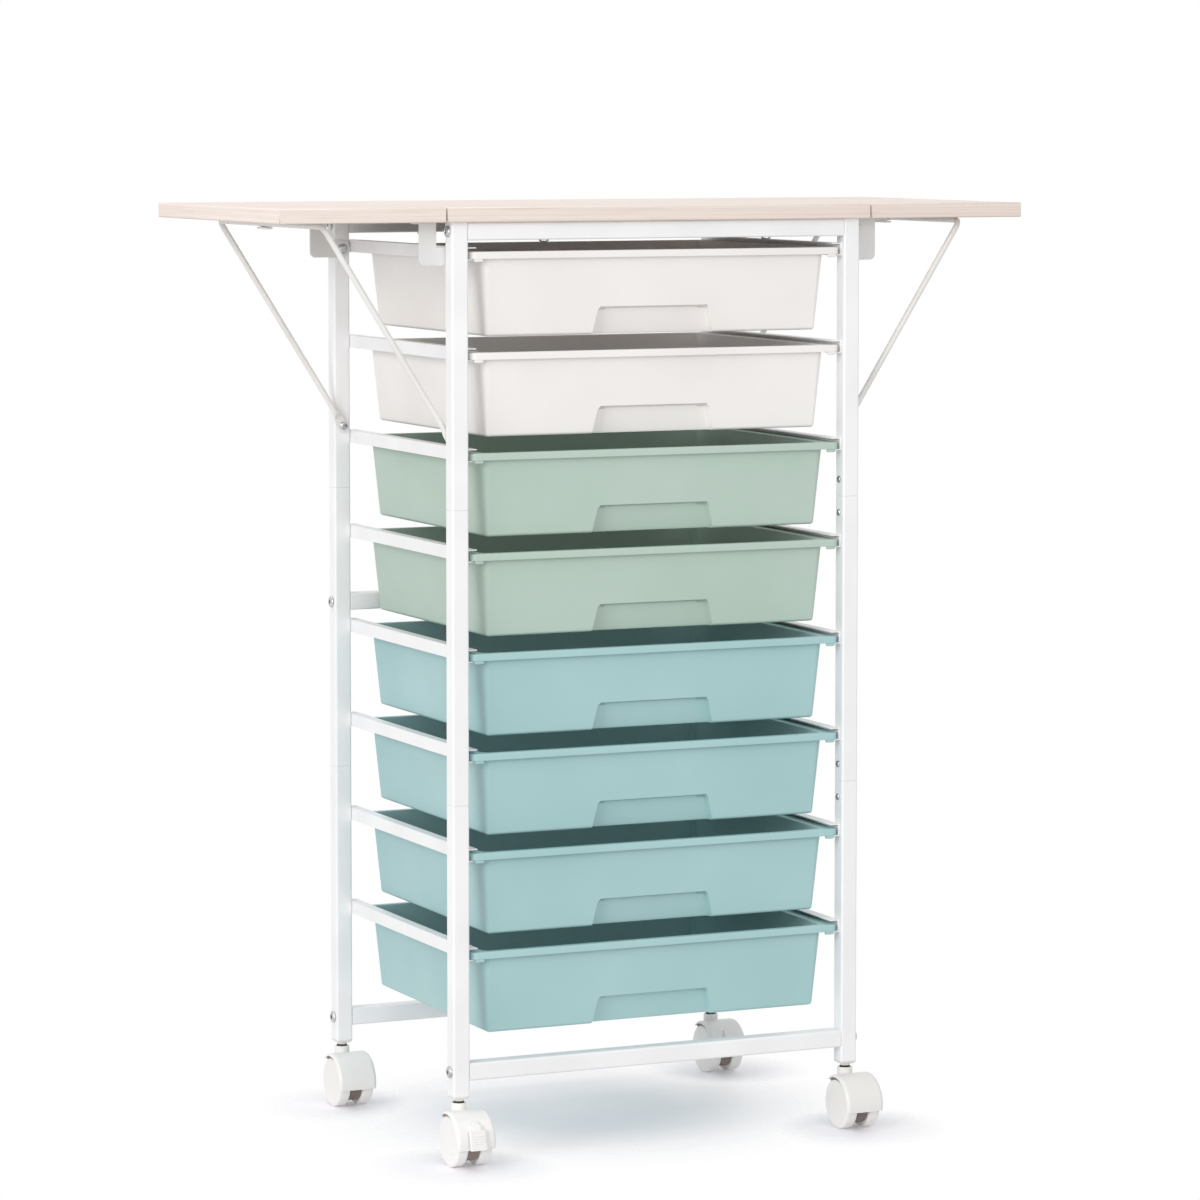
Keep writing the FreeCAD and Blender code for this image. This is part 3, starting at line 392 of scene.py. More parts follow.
def drawer_rings(half, front, rear, corner, z, wall, pushed):
    """Rings of a drawer, one for each row of sizes: a rounded rectangle whose front is pushed in at the
    finger recess. The recess is a trapezoid with round upper corners. With d the distance inside its
    outline and e the ease, a point of the front moves by the smooth step of (d + e) / 2e towards the pushed
    place."""
    half, front, rear, corner, z, pushed = (
        np.reshape(size, (-1, 1)) for size in np.broadcast_arrays(half, front, rear, corner, z, pushed)
    )
    below_top = RECESS_HEIGHT - np.minimum(z, RECESS_HEIGHT)
    edge = RECESS_TOP_HALF + RECESS_FLARE * below_top / RECESS_HEIGHT + wall
    end = half - corner
    steps = np.linspace(-RECESS_EASE, RECESS_EASE, 9)
    middle = (edge - RECESS_EASE) * np.linspace(-1, 1, 15)[1:-1]
    beside = edge + RECESS_EASE + (end - edge - RECESS_EASE) * np.linspace(0, 1, 6)[1:]
    x = np.concatenate([-beside[:, ::-1], steps - edge, middle, steps + edge, beside], axis=1)

    from_side, from_top = edge - np.abs(x), RECESS_HEIGHT + wall - z
    inside = np.minimum(from_side, from_top)
    past_side, past_top = RECESS_CORNER - from_side, RECESS_CORNER - from_top
    at_corner = (past_side > 0) & (past_top > 0)
    inside = np.where(at_corner, RECESS_CORNER - np.hypot(past_side, past_top), inside)
    y = front + np.maximum(0.0, pushed - front) * smooth_step((inside + RECESS_EASE) / (2 * RECESS_EASE))

    quarter = np.radians(np.linspace(0, 90, 9))
    cos, sin = corner * np.cos(quarter), corner * np.sin(quarter)
    around_x = [x, (end + sin)[:, 1:], end + cos, -end - sin, (-end - cos)[:, :-1]]
    around_y = [y, (front + corner - cos)[:, 1:], rear - corner + sin, rear - corner + cos,
                (front + corner - sin)[:, :-1]]
    plan = np.stack([np.concatenate(around_x, axis=1), np.concatenate(around_y, axis=1)], axis=-1)
    return upright(plan, z)


def tub_rings(wall, fillet, top):
    """The tub's rings from near the middle of its floor up to its top. The floor turns up into the walls
    along a quarter arc. The walls lean out by the draft, and the recess leans the other way, so that it
    looks down."""
    turn = np.radians(np.linspace(0, 90, 7))
    at_recess_top = RECESS_HEIGHT + wall + np.linspace(-4.5, 1.0, 12)
    levels = np.concatenate([[12.0, 18.0], at_recess_top, [36.0, 50.0, 66.0, top]])
    z = np.concatenate([[wall, wall], wall + fillet * (1 - np.cos(turn)), levels])
    inset = np.concatenate([[13.0, 9.0], fillet * (1 - np.sin(turn)), np.zeros(len(levels))])
    taken = wall + (DRAWER_HEIGHT - z) * TUB_DRAFT + inset
    corner = TUB_CORNER - 0.8 * wall - TUB_CORNER_TAPER * (1 - z / DRAWER_HEIGHT) - inset
    pushed = RECESS_BACK + wall - RECESS_LEAN * np.minimum(z, RECESS_HEIGHT) + 0.15 * inset
    return drawer_rings(TUB_HALF - taken, TUB_FRONT + taken, TUB_REAR - taken,
                        np.maximum(corner, TUB_CORNER_LEAST), z, wall, pushed)


def drawer_shell():
    """The drawer as one closed skin: the inside, the rim, and the outside."""
    inner = tub_rings(DRAWER_WALL, 2.5, DRAWER_HEIGHT - 1.0)
    outer = tub_rings(0.0, 3.0, DRAWER_HEIGHT - 2.8)
    down, out, corner = RIM_SECTION.T
    half, front, rear = (MOUTH + out[:, None] * (RIM - MOUTH)).T
    rim = drawer_rings(half, front, rear, corner, DRAWER_HEIGHT - down, 0.0, front)
    return stacked(np.concatenate([inner, rim, outer[::-1]]))


def block(low, high, radius):
    """A small box with its upright edges round, and its top and bottom drawn in a little."""
    centre, half = (low + high) / 2, (high - low) / 2
    inset = np.array([0.8, 0.0, 0.0, 0.8]) * radius
    heights = (low[2], low[2] + radius, high[2] - radius, high[2])
    sections = rounded_rectangles(half[0] - inset, half[1] - inset, radius, 2) + centre[:2]
    return stacked(upright(sections, heights))


def drawers():
    """Eight drawers, each the same skin with a stop tab under each end of its rim's front."""
    mirrored = np.array([-1, 1, 1])
    shells = [
        drawer_shell(),
        block(*np.sort([STOP_LOW * mirrored, STOP_HIGH * mirrored], axis=0), STOP_RADIUS),
        block(STOP_LOW, STOP_HIGH, STOP_RADIUS),
    ]
    kinds = [WHITE_DRAWER] * 2 + [SAGE_DRAWER] * 2 + [TEAL_DRAWER] * 4
    for number, (slot, plastic) in enumerate(kinds, start=1):
        name = "drawer_%d" % number
        shift = (0.0, MIDDLE_Y, node_box(name)[0][2])
        placed = [(points + shift, *faces) for points, *faces in shells]
        piece(name + "_moulding", placed, name, plastic, name)


# Posts and rails

TUBE_CORNER = 2.2
# Distances from a tube's end, and how far its section is drawn in there.
TUBE_END = np.array([(0.0, 0.5), (0.15, 0.15), (0.5, 0.0)])


def tube(node):
    """A square tube: a rounded rectangle carried along the node's long side, and drawn in at its ends."""
    low, high = node_box(node)
    long = int(np.argmax(high - low))
    across = [i for i in range(3) if i != long]
    centre, half = (low + high) / 2, (high - low) / 2
    near, inset = TUBE_END.T
    along = np.concatenate([low[long] + near, high[long] - near[::-1]])
    inset = np.concatenate([inset, inset[::-1]])
    section = rounded_rectangles(half[across[0]] - inset, half[across[1]] - inset, TUBE_CORNER - inset)
    rings = np.empty((*section.shape[:2], 3))
    rings[..., long] = along[:, None]
    rings[..., across] = section + centre[across]
    piece(node + "_tube", [stacked(rings)], "cart", PAINT, node)


def posts_and_rails():
    """The twelve lengths of the posts and the five cross rails."""
    for node in frame["nodes"]:
        a_post = node.startswith("post_") and node.endswith(("_top", "_middle", "_bottom"))
        if a_post or node.endswith("_rail"):
            tube(node)


# Screws

SCREW_AROUND = 48
DOME_FROM, DOME_TO = 10, 62
SOCKET_FLARE = 1.12


def screw(seat, axis, way, radius, height, socket):
    """A button head. Its side rises to three tenths of the height, where its socket ends too, and its dome
    is an arc scaled to the height. The socket is a hexagon: at the angle a its radius is the half width
    over the cosine of the angle from a to the middle of the nearest flat."""
    side = height * 0.3
    x, y = arc((0.0, 0.0), 1.0, DOME_FROM, DOME_TO).T
    along = np.concatenate([[0.0, side], side + (height - side) * y / y[-1], [height, height - 0.25, side]])
    head = np.concatenate([[radius, radius], radius * (0.02 + 0.98 * x) / 0.985])
    sixth = np.pi / 3
    hexagon = socket / 2 / np.cos((circle(SCREW_AROUND) + sixth / 2) % sixth - sixth / 2)
    socket_rings = np.outer((SOCKET_FLARE, 1.0, 1.0), hexagon)
    radii = np.concatenate([np.tile(head[:, None], SCREW_AROUND), socket_rings])
    return turned(axis, way * along, radii, seat, SCREW_AROUND)


def frame_screws():
    """Heads on the posts where the cross rails end, and under the top rails, where they hold the board."""
    board_screw_x = 124.0
    shells = []
    for _, x_side in SIDES:
        for rail in ("top_front", "top_rear", "middle_rear", "bottom_front", "bottom_rear"):
            low, high = node_box(rail + "_rail")
            seat = (x_side * (POST_X + TUBE_HALF), *((low + high) / 2)[1:])
            shells.append(screw(seat, 0, x_side, radius=6.0, height=3.4, socket=4.0))
        for _, y_side in ENDS:
            seat = (x_side * board_screw_x, y_side * POST_Y + MIDDLE_Y, BOARD_BOTTOM - 2 * TUBE_HALF)
            shells.append(screw(seat, 2, -1, radius=5.0, height=2.4, socket=3.0))
    piece("frame_screw_heads", shells, "cart", STEEL, "frame_screws")


def joint_screws():
    """Heads on the posts' inner faces, one above and one below each seam."""
    from_seam = 17.2
    heights = np.add.outer(SEAMS, (-from_seam, from_seam)).ravel()
    shells = []
    for _, x_side in SIDES:
        for _, y_side in ENDS:
            for z in heights:
                seat = (x_side * (POST_X - TUBE_HALF), y_side * POST_Y + MIDDLE_Y, z)
                shells.append(screw(seat, 0, -x_side, radius=3.5, height=2.2, socket=2.2))
    piece("joint_screw_heads", shells, "cart", STEEL, "sleeve_screws")


def pivot_screws():
    """The leaves' and the braces' pivots: a shoulder through the plate or the tab, and a head."""
    shoulder = 3.0
    shells = []
    for _, x_side in SIDES:
        for _, y_side in ENDS:
            for z, thickness, radius in ((HINGE_Z, 2.5, 5.3), (BRACE_Z, 3.5, 4.3)):
                seat = np.array((x_side * POST_X, y_side * (POST_Y - TUBE_HALF) + MIDDLE_Y, z))
                inwards = -y_side * thickness
                shells.append(turned(1, (0.0, inwards), (shoulder, shoulder), seat, 32))
                shells.append(screw(seat + (0.0, inwards, 0.0), 1, -y_side, radius, height=2.2, socket=2.6))
    piece("pivot_screw_heads", shells, "cart", STEEL, "pivot_screws")


# Braces

BRACE_LENGTH = 257.1
BRACE_BEND = 9.0
ROD = 3.0
TAB_HALF, TAB_THICK, TAB_REACH, TAB_ROUNDING = 5.0, 1.5, 6.4, 2.4
TAB_POWER, ROD_POWER = 6.0, 2.0
BRACE_SIDE_GAP, BRACE_TOP_GAP = 0.3, 0.5
ROD_AROUND = 32


def brace_leg():
    """A leg from its pivot up to the bend: a round bar, flattened to a tab at the pivot. Each ring is a
    superellipse, |a / half width| ^ power + |b / half thickness| ^ power = 1, whose sizes and power go from
    the tab's to the rod's by a smooth step of the distance from the pivot. Below the pivot the tab narrows
    along a quarter ellipse to seven tenths of its width."""
    down = np.concatenate([[-TAB_REACH, -6.1, -5.4, -4.0], np.linspace(0, 20, 21),
                           np.linspace(30, BRACE_LENGTH - BRACE_BEND, 12)])[:, None]
    turn = circle(ROD_AROUND, 0.5)
    mix = smooth_step((down - 9.0) / 9.0)
    end = np.clip((down + TAB_REACH) / TAB_ROUNDING, 0, 1)
    half = (TAB_HALF + (ROD - TAB_HALF) * mix) * (0.7 + 0.3 * np.sqrt(1 - (1 - end) ** 2))
    thick = TAB_THICK + (ROD - TAB_THICK) * mix
    power = 2 / (TAB_POWER + (ROD_POWER - TAB_POWER) * mix)
    wide = half * np.sign(np.cos(turn)) * np.abs(np.cos(turn)) ** power
    deep = thick * np.sign(np.sin(turn)) * np.abs(np.sin(turn)) ** power
    face = POST_Y - TUBE_HALF - BRACE_SIDE_GAP
    return np.stack([wide, thick + deep - face, np.broadcast_to(down, wide.shape)], axis=-1)


def brace_corner():
    """The bend: the rod's circle carried round a quarter turn, from the leg to the run under the leaf."""
    line = POST_Y - TUBE_HALF - BRACE_SIDE_GAP - ROD
    bent = np.radians(np.linspace(0, 90, 10)[1:])[:, None]
    turn = circle(ROD_AROUND, 0.5)
    out = BRACE_BEND - ROD * np.sin(turn)
    return np.stack([
        np.broadcast_to(ROD * np.cos(turn), (len(bent), ROD_AROUND)),
        BRACE_BEND - line - out * np.cos(bent),
        BRACE_LENGTH - BRACE_BEND + out * np.sin(bent),
    ], axis=-1)


def brace(side, x_side):
    """The bent rod: a leg and a bend, and their mirror image, leaned out until the rod lies under the leaf.
    The lean's cosine is the height from the pivot to the rod over the brace's length."""
    half = np.concatenate([brace_leg(), brace_corner()])
    x, y, z = np.moveaxis(np.concatenate([half, half[::-1] * (1, -1, 1)]), -1, 0)
    lean = x_side * math.acos((BOARD_BOTTOM - BRACE_TOP_GAP - ROD - BRACE_Z) / BRACE_LENGTH)
    leaned_x, leaned_z = x * math.cos(lean) + z * math.sin(lean), z * math.cos(lean) - x * math.sin(lean)
    rings = np.stack([leaned_x + x_side * POST_X, y + MIDDLE_Y, leaned_z + BRACE_Z], axis=-1)
    name = "brace_" + side
    # The rod's greyer paint is painted shade under the leaf.
    piece(name + "_rod", [stacked(rings)], name, SHADED_ROD_PAINT, name, sharp=60.0)


# Casters

# The wheel's, core's, shade sleeve's and hood's sizes are places across the caster and distances from the
# axle; the sleeve and its lip are painted shade under the hood. Angles are in degrees over the top: the
# hood's and the shade lip's from the front, the core's from the rear. The pedal's outlines are distances in
# front of the stem and heights above the floor. The collar, the stem and the plug are heights above the
# floor and distances from the stem's middle.

WHEEL_RADIUS = 26.0
WHEEL_INNER_FACE, WHEEL_SHOULDER_FROM, SHOULDER_RADIUS = 6.5, 16.4, 3.0
WHEEL_OUTER_FACE, DOME_RADIUS, DOME_RISE = 20.5, 21.6, 0.65

CORE_HALF, CORE_RADIUS, CORE_FRONT_RADIUS, CORE_BORE = 5.6, 20.6, 23.9, 4.0
CORE_FRONT_FROM, CORE_FRONT_TO, CORE_FRONT_BLEND = 52.0, 262.0, 50.0
CORE_RIB_SPACING, CORE_RIB_DEPTH = 2.2, 0.6
AXLE_END, AXLE_RADIUS, AXLE_BEVEL = 14.5, 2.5, (0.2, 0.5)

# The sleeve and the lip are painted shade: dark sheets in the gap between the hood and the wheel.
SHADE_SLEEVE_INNER, SHADE_SLEEVE_OUTER, SHADE_SLEEVE_FROM, SHADE_SLEEVE_TO = 26.5, 27.35, 6.4, 18.9
SHADE_LIP_FRONT, SHADE_LIP_REAR, SHADE_LIP_TO = 27.2, 25.0, 19.3
SHADE_LIP_BLEND_START, SHADE_LIP_BLEND = 5.0, 85.0

HOOD_FROM, HOOD_TO, HOOD_EDGE = -9.5, 121.0, 0.35
HOOD_WEB_HALF, HOOD_WEB_LOW, HOOD_UNDERSIDE, HOOD_MIDDLE = 5.8, 20.5, 27.4, 26.5
HOOD_SHOULDER, HOOD_SHOULDER_CENTRE = 4.0, (17.2, 26.2)

PLATE_HALF, PLATE_MIDDLE_Z, PLATE_RISE = 9.0, 31.5, 10.0
PLATE_FACE, PLATE_LEAN, PLATE_EDGE = 51.8, 0.22, 0.5
PLATE_RIBS, PLATE_RIBS_HALF, PLATE_RIB_WIDTH, PLATE_RIB_HEIGHT = (4.4, 1.9, -0.6, -3.1), 6.8, 0.6, 0.5
LUG_RADIUS, LUG_THICKNESS = 2.8, 2.0

COLLAR = [
    (43.0, 6.5), (43.0, 8.1), (52.0, 8.0), (59.7, 7.9), (60.4, 7.6), (60.7, 7.1), (60.6, 6.1), (59.5, 5.9),
    (59.0, 4.4), (46.0, 4.3),
]
# The ring from 59.4 to 62.0 sits in the collar's mouth, and its dark steel is painted shade for the gap
# there.
STEM = [(45.0, 3.6), (45.4, 4.0), (59.2, 4.0), (59.4, 5.3), (62.0, 5.4), (62.6, 5.0)]
PLUG_NECK = [(62.5, 4.6), (62.6, 5.2), (64.6, 5.4), (64.6, 3.0)]
PLUG_SIDE = [
    (64.5, 6.9), (64.7, 7.3), (66.3, 8.8), (66.8, 9.0), (67.5, 9.0), (67.5, 7.7), (81.5, 7.7), (82.5, 7.0),
]


def bevelled_rod(ends, radius, bevel, centre, around):
    """A round rod across the caster between two places, with a bevel (along, in) at each end."""
    start, end = ends
    long, deep = bevel
    along = (start, start + long, end - long, end)
    return turned(0, along, (radius - deep, radius, radius, radius - deep), centre, around)


def wheel_shell(axle, way):
    """A wheel that looks to the side that way gives: a flat tread, a quarter-round shoulder, a bevelled
    ring, and a face that is a shallow cap of a sphere, R = (r^2 + h^2) / 2h for a cap of radius r and rise
    h."""
    cap = (DOME_RADIUS**2 + DOME_RISE**2) / (2 * DOME_RISE)
    face = np.array([21.2, 18.0, 14.0, 10.0, 6.0, 2.0])
    profile = np.vstack([
        [(WHEEL_INNER_FACE, 3.0), (WHEEL_INNER_FACE, 22.6), (6.8, 24.4), (7.8, 25.7), (9.2, WHEEL_RADIUS)],
        arc((WHEEL_SHOULDER_FROM, WHEEL_RADIUS - SHOULDER_RADIUS), SHOULDER_RADIUS, 90, 25),
        [(19.5, 23.2), (19.75, 22.4), (19.85, DOME_RADIUS)],
        np.column_stack([WHEEL_OUTER_FACE - cap + np.sqrt(cap**2 - face**2), face]),
    ])
    return turned(0, way * profile[:, 0], profile[:, 1], axle, 96)


def core_shells(axle):
    """The ribbed core between the wheels and the axle through it. The core's radius is largest in front,
    where it fills the gap below the hood, and it grows there by a smooth step of the turn about the axle,
    counted from the rear. The ribs are a cosine wave across it."""
    around = 96
    turn = np.degrees(circle(around))
    front = smooth_step(np.minimum(turn - CORE_FRONT_FROM, CORE_FRONT_TO - turn) / CORE_FRONT_BLEND)
    ribs = np.linspace(-5.2, 5.2, 41)
    wave = CORE_RIB_DEPTH / 2 * (np.cos(2 * np.pi * ribs / CORE_RIB_SPACING) - 1)
    depth = np.concatenate([[-CORE_RIB_DEPTH], wave, [-CORE_RIB_DEPTH]])[:, None]
    # The grown front shows in the gap below the hood, where the core's dark colour is partly painted shade.
    drum = CORE_RADIUS + (CORE_FRONT_RADIUS - CORE_RADIUS) * front + depth
    bore = np.full((1, around), CORE_BORE)
    along = np.concatenate([[-CORE_HALF] * 2, ribs, [CORE_HALF] * 2])
    core = turned(0, along, np.concatenate([bore, drum, bore]), axle, around)
    return [core, bevelled_rod((-AXLE_END, AXLE_END), AXLE_RADIUS, AXLE_BEVEL, axle, around)]


def painted_shade_sleeve_shells(axle):
    """A dark sleeve under the hood and a lip at its edge, on each side, painted shade for the dark crescent
    in the gap between the hood and the wheel: a rectangle carried about the axle. The lip's inner radius
    falls by a smooth step of the angle."""
    sweep = np.radians(np.linspace(-6.0, 118.0, 48))
    lip = SHADE_LIP_FRONT + (SHADE_LIP_REAR - SHADE_LIP_FRONT) * smooth_step((np.degrees(sweep) - SHADE_LIP_BLEND_START) / SHADE_LIP_BLEND)
    shells = []
    for way in (-1, 1):
        for inner, low, high in ((SHADE_SLEEVE_INNER, SHADE_SLEEVE_FROM, SHADE_SLEEVE_TO), (lip, SHADE_SLEEVE_TO, SHADE_LIP_TO)):
            inner, outer = np.broadcast_arrays(inner, np.full(len(sweep), SHADE_SLEEVE_OUTER))
            away = np.column_stack([inner, inner, outer, outer])
            over = np.broadcast_to(way * np.array([low, high, high, low]), away.shape)
            ring = [over, -away * np.cos(sweep)[:, None], away * np.sin(sweep)[:, None]]
            shells.append(stacked(np.stack(ring, axis=-1) + axle))
    return shells


def hood_shells(axle, stem):
    """The hood: a section with round shoulders carried about the axle from below its front to behind the
    stem, and drawn in at both ends. With it comes the collar that the stem turns in."""
    side = np.vstack([
        [(HOOD_WEB_HALF, HOOD_UNDERSIDE), (20.4, HOOD_UNDERSIDE), (21.0, 27.7)],
        arc(HOOD_SHOULDER_CENTRE, HOOD_SHOULDER, 24, 90, 8),
    ])
    web = [(-HOOD_WEB_HALF, HOOD_WEB_LOW), (HOOD_WEB_HALF, HOOD_WEB_LOW)]
    across, away = np.vstack([web, side, side[::-1] * (-1, 1)]).T
    turn = np.radians(np.linspace(HOOD_FROM, HOOD_TO, 56))
    turn = np.concatenate([turn[:1], turn, turn[-1:]])[:, None]
    inset = np.zeros_like(turn)
    inset[[0, -1]] = HOOD_EDGE
    across = across * (1 - inset / 40)
    away = away - inset * np.sign(away - HOOD_MIDDLE)
    rings = np.stack([across, -away * np.cos(turn), away * np.sin(turn)], axis=-1)
    return [stacked(rings + axle), turned(2, *np.transpose(COLLAR), stem)]


def side_outlines(places, outlines, stem):
    """A shell through side outlines, each set at its place across the caster."""
    outlines = np.asarray(outlines, float)
    over = np.broadcast_to(np.reshape(places, (-1, 1)), outlines.shape[:2])
    return stacked(np.stack([over, -outlines[..., 0], outlines[..., 1]], axis=-1) + stem)


def pedal_plate(stem):
    """The pedal's plate, with four ribs across its middle. Its outer face leans out evenly on the way down,
    and each rib adds the bell curve exp(-(distance from the rib / its width)^2). The foot's edge is eased,
    and the sides are drawn in."""
    places = np.array([-PLATE_HALF, -8.3, -7.4, -PLATE_RIBS_HALF, PLATE_RIBS_HALF, 7.4, 8.3, PLATE_HALF])
    at_side = (np.abs(places) == PLATE_HALF)[:, None]
    ribbed = (np.abs(places) == PLATE_RIBS_HALF)[:, None]
    levels = np.linspace(PLATE_RISE, -PLATE_RISE, 61)
    from_rib = levels - np.reshape(PLATE_RIBS, (-1, 1))
    ribs = PLATE_RIB_HEIGHT * np.exp(-((from_rib / PLATE_RIB_WIDTH) ** 2)).sum(axis=0)
    foot = 0.4 * (levels < 0.3 - PLATE_RISE)
    outer = PLATE_FACE - PLATE_LEAN * levels - foot + ribs * ribbed - PLATE_EDGE * at_side
    inner = np.broadcast_to([52.2, 50.0, 47.8], (len(places), 3))
    rise = np.concatenate([levels, [-PLATE_RISE, 0.0, PLATE_RISE]])
    up = PLATE_MIDDLE_Z + rise * (1 - 0.06 * at_side)
    return side_outlines(places, np.stack([np.concatenate([outer, inner], axis=1), up], axis=-1), stem)


def pedal_shells(stem, pivot):
    """The brake pedal: the plate, a narrow tab above it, two lugs, and the pin through them."""
    tab = np.array([
        (47.8, 41.2), (49.5, 41.2), (44.8, 45.4), (40.7, 48.6), (40.2, 49.0), (39.2, 49.0), (38.9, 48.4),
    ])
    inwards = tab.mean(axis=0) - tab
    drawn_in = tab + 0.5 * inwards / np.linalg.norm(inwards, axis=1, keepdims=True)
    tab_shell = side_outlines((-3.5, -3.0, 3.0, 3.5), (drawn_in, tab, tab, drawn_in), stem)
    pin_place = (stem[1] - pivot[1], pivot[2])
    lug = np.vstack([arc(pin_place, LUG_RADIUS, 90, 270, 12), [(48.6, 40.2), (48.6, 41.6), (44.9, 45.8)]])
    lugs = [side_outlines((near, near + LUG_THICKNESS), (lug, lug), stem) for near in (2.3, -4.3)]
    pin = bevelled_rod((-3.3, 3.3), 1.5, (0.2, 0.3), pivot, 32)
    return [pedal_plate(stem), tab_shell, *lugs, pin]


def plug_shells(stem):
    """A post's end plug: a bevelled square flange with its insert in the tube, and a round neck for the
    stem."""
    z, half = np.transpose(PLUG_SIDE)
    sections = rounded_rectangles(half, half, np.where(half > 8, 2.0, 1.5)) + stem[:2]
    return [stacked(upright(sections, z)), turned(2, *np.transpose(PLUG_NECK), stem)]


def casters():
    """Four casters, of which the front left and the rear right have a brake pedal, with their stems and
    plugs."""
    stems, plugs = [], []
    for side, x_side in SIDES:
        for end, y_side in ENDS:
            name = "caster_%s_%s" % (end, side)
            stem = PIVOTS[name + "_swivel"] * (1, 1, 0)
            axle = PIVOTS[name + "_outer_wheel_spin"]
            hood = hood_shells(axle, stem)
            piece(name + "_hood", hood, name, CASTER, name + "_housing", sharp=50.0)
            # The core and the dark sleeves of painted shade under the hood are one piece in the core's
            # colour.
            core = core_shells(axle) + painted_shade_sleeve_shells(axle)
            piece(name + "_ribbed_core", core, name, CORE_AND_PAINTED_SHADE, name + "_core", sharp=60.0)
            for where, way in (("outer", x_side), ("inner", -x_side)):
                wheel = "%s_%s_wheel" % (name, where)
                shell = wheel_shell(axle, way)
                piece(wheel + "_tread", [shell], wheel, WHEEL, wheel, sharp=45.0)
            if name + "_brake" in PIVOTS:
                pedal = name + "_brake_pedal"
                shells = pedal_shells(stem, PIVOTS[name + "_brake"])
                piece(pedal + "_plate", shells, pedal, CASTER, pedal, sharp=45.0)
            stems.append(turned(2, *np.transpose(STEM), stem))
            plugs += plug_shells(stem)
    # The stems' dark steel is painted shade in the collars' mouths.
    piece("caster_stem_pins", stems, "cart", STEM_STEEL_SHADED, "caster_stems")
    piece("post_end_caps", plugs, "cart", CASTER, "post_end_plugs")


# Pieces that keep the frame's own shape


def boards_plates_and_channels():
    """The boards, hinge plates, catches and channels, with their edges rounded off, and the sleeves as they
    are."""
    for side, _ in SIDES:
        leaf = "leaf_" + side
        eased(leaf + "_board", leaf, WOOD, 0.5)
        # The plates' grey paint is partly painted shade under the leaf.
        eased("leaf_hinge_plates_" + side, leaf, PLATE_PAINT_GREY_AND_SHADED, 0.5)
        eased("brace_catch_" + side, leaf, CLIP, 0.4)
        eased("drawer_rails_" + side, "cart", PAINT, 0.3, 2)
    eased("centre_board", "cart", WOOD, 0.5)
    sleeves = frame["nodes"]["post_sleeves"].data
    sleeves.materials.clear()
    sleeves.materials.append(STEEL)


# Stage, in metres


def lamp(name, place, target, size, watts):
    """A soft square lamp that looks at a target."""
    light = bpy.data.lights.new(name, "AREA")
    light.energy = watts
    light.size = size
    made = bpy.data.objects.new(name, light)
    bpy.context.scene.collection.objects.link(made)
    made.location = place
    made.rotation_euler = (Vector(target) - Vector(place)).to_track_quat("-Z", "Y").to_euler()


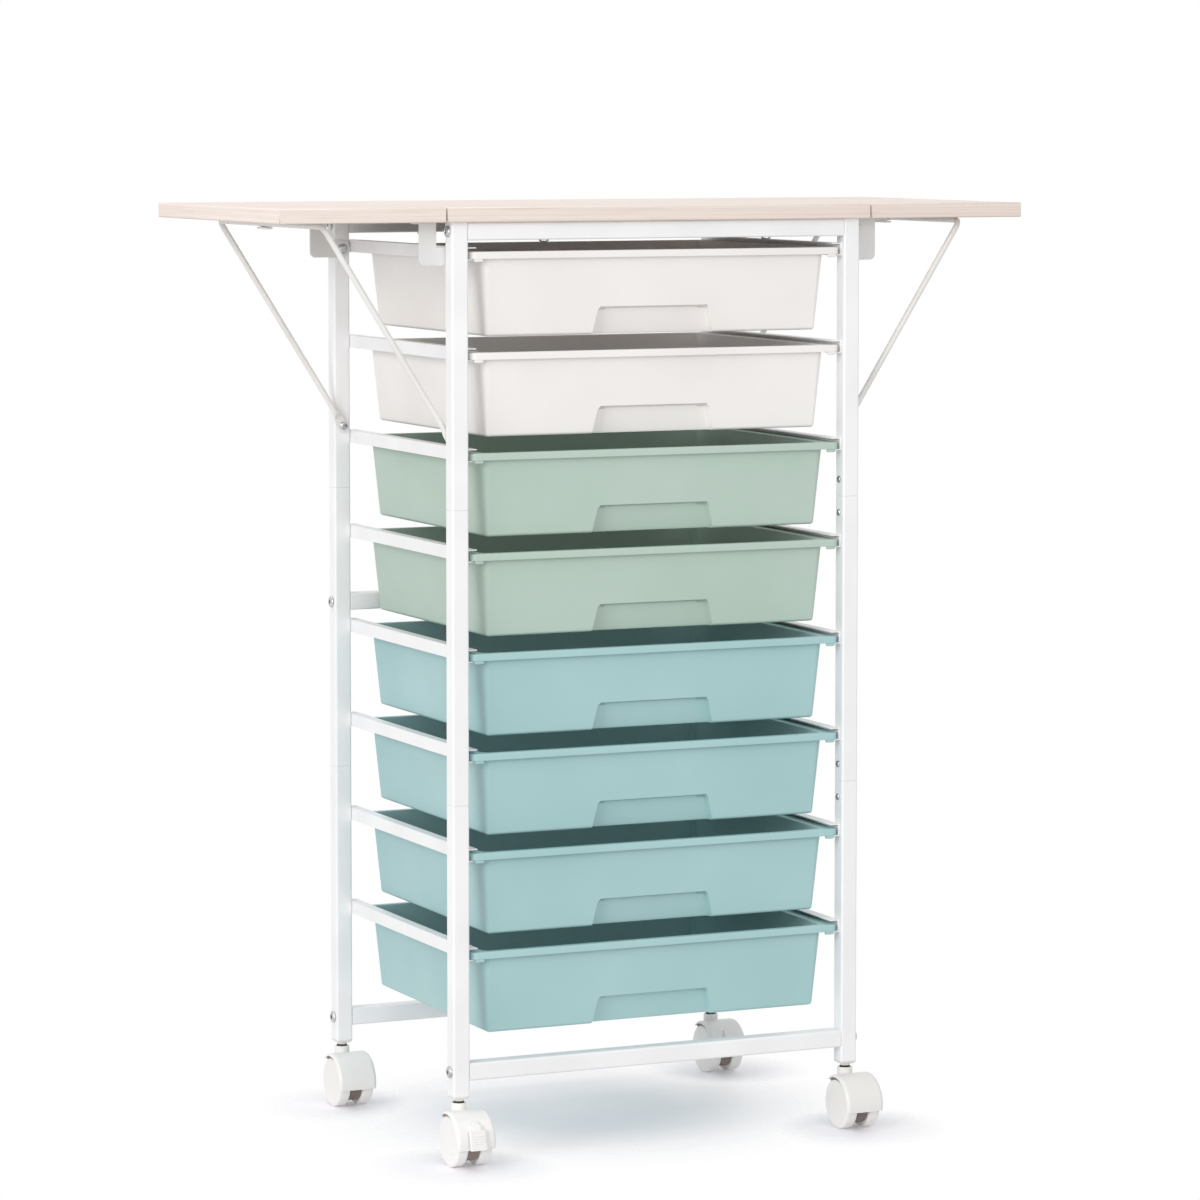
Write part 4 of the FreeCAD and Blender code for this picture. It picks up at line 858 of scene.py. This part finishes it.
def pale_floor():
    """A pale floor that goes clear away from the cart. The clear share is the smaller of two smooth steps:
    of the distance from the cart's middle, on coordinates scaled to its plan, and of the distance from the
    nearest caster, found by folding the four quarters of the floor onto one."""
    reach = 4.0
    mesh = bpy.data.meshes.new("floor")
    corners = [(-reach, -reach, 0), (reach, -reach, 0), (reach, reach, 0), (-reach, reach, 0)]
    mesh.from_pydata(corners, [], [(0, 1, 2, 3)])
    floor = bpy.data.objects.new("floor", mesh)
    bpy.context.scene.collection.objects.link(floor)
    ground = Finish("pale_floor", 0.5)
    ground.colour(linear("fbf9ff"))
    ground.rough(ground.noise(3.0), 0.42, 0.55)
    plan = {"Vector": ground.place, "Location": (0.0, -0.19, 0.0), "Scale": (5.9, 6.3, 1.0)}
    scaled = ground.add("Mapping", plan).outputs["Vector"]
    from_middle = ground.add("VectorMath", {0: scaled}, operation="LENGTH").outputs["Value"]
    folded = ground.add("VectorMath", {0: ground.place}, operation="ABSOLUTE").outputs["Vector"]
    wheel = (POST_X * MM, POST_Y * MM, 0.0)
    from_wheel = ground.add("VectorMath", {0: folded, 1: wheel}, operation="DISTANCE").outputs["Value"]
    fades = [
        ground.add("MapRange", {"Value": distance, "From Min": near, "From Max": far, "To Min": 0.15},
                   interpolation_type="SMOOTHSTEP").outputs["Result"]
        for distance, near, far in ((from_middle, 0.4, 1.9), (from_wheel, 0.02, 0.11))
    ]
    fade = ground.maths("MINIMUM", *fades)
    clear = ground.add("BsdfTransparent").outputs[0]
    mix = ground.add("MixShader", {0: fade, 1: ground.shader.outputs[0], 2: clear})
    ground.feed(ground.tree.nodes["Material Output"].inputs["Surface"], mix.outputs[0])
    floor.data.materials.append(ground.material)


def white_surround():
    """A white world. It lights the cart at a low strength, and is full white to the camera and in
    reflections."""
    world = bpy.data.worlds.new("studio")
    bpy.context.scene.world = world
    world.use_nodes = True
    nodes = Nodes(world.node_tree)
    lit = nodes.tree.nodes["Background"]
    nodes.feed(lit.inputs["Color"], WHITE)
    nodes.feed(lit.inputs["Strength"], 0.6)
    seen = nodes.add("Background", {"Color": WHITE, "Strength": 1.0})
    ray = nodes.add("LightPath").outputs
    looked_at = nodes.maths("MAXIMUM", ray["Is Camera Ray"], ray["Is Glossy Ray"])
    looked_at = nodes.maths("MAXIMUM", looked_at, ray["Is Transmission Ray"])
    mix = nodes.add("MixShader", {0: looked_at, 1: lit.outputs[0], 2: seen.outputs[0]})
    nodes.feed(nodes.tree.nodes["World Output"].inputs["Surface"], mix.outputs[0])


def studio():
    """Soft lamps from the left, the front and above, and the camera at the photograph's angle."""
    scene = bpy.context.scene
    scene.view_settings.view_transform = "Standard"
    pale_floor()
    white_surround()
    lamp("key", (-3.9, -1.9, 1.7), (0.0, 0.0, 0.45), 2.0, 80.0)
    lamp("front", (-0.4, -3.9, 1.5), (0.0, 0.0, 0.5), 2.4, 37.0)
    lamp("above", (-0.8, 0.4, 3.4), (0.0, 0.0, 0.0), 2.6, 29.0)
    camera = bpy.data.objects.new("camera", bpy.data.cameras.new("camera"))
    scene.collection.objects.link(camera)
    down, left = 4.43, 24.44
    camera.location = (-2.04249, -4.50035, 1.05433)
    camera.rotation_euler = (math.radians(90 - down), 0.0, math.radians(-left))
    camera.data.sensor_width = 36.0
    focal_pixels, photo_pixels = 4754.1, 1200
    camera.data.lens = focal_pixels / photo_pixels * camera.data.sensor_width
    camera.data.shift_y = -0.10
    scene.camera = camera


drawers()
posts_and_rails()
frame_screws()
joint_screws()
pivot_screws()
for side, x_side in SIDES:
    brace(side, x_side)
casters()
boards_plates_and_channels()
studio()
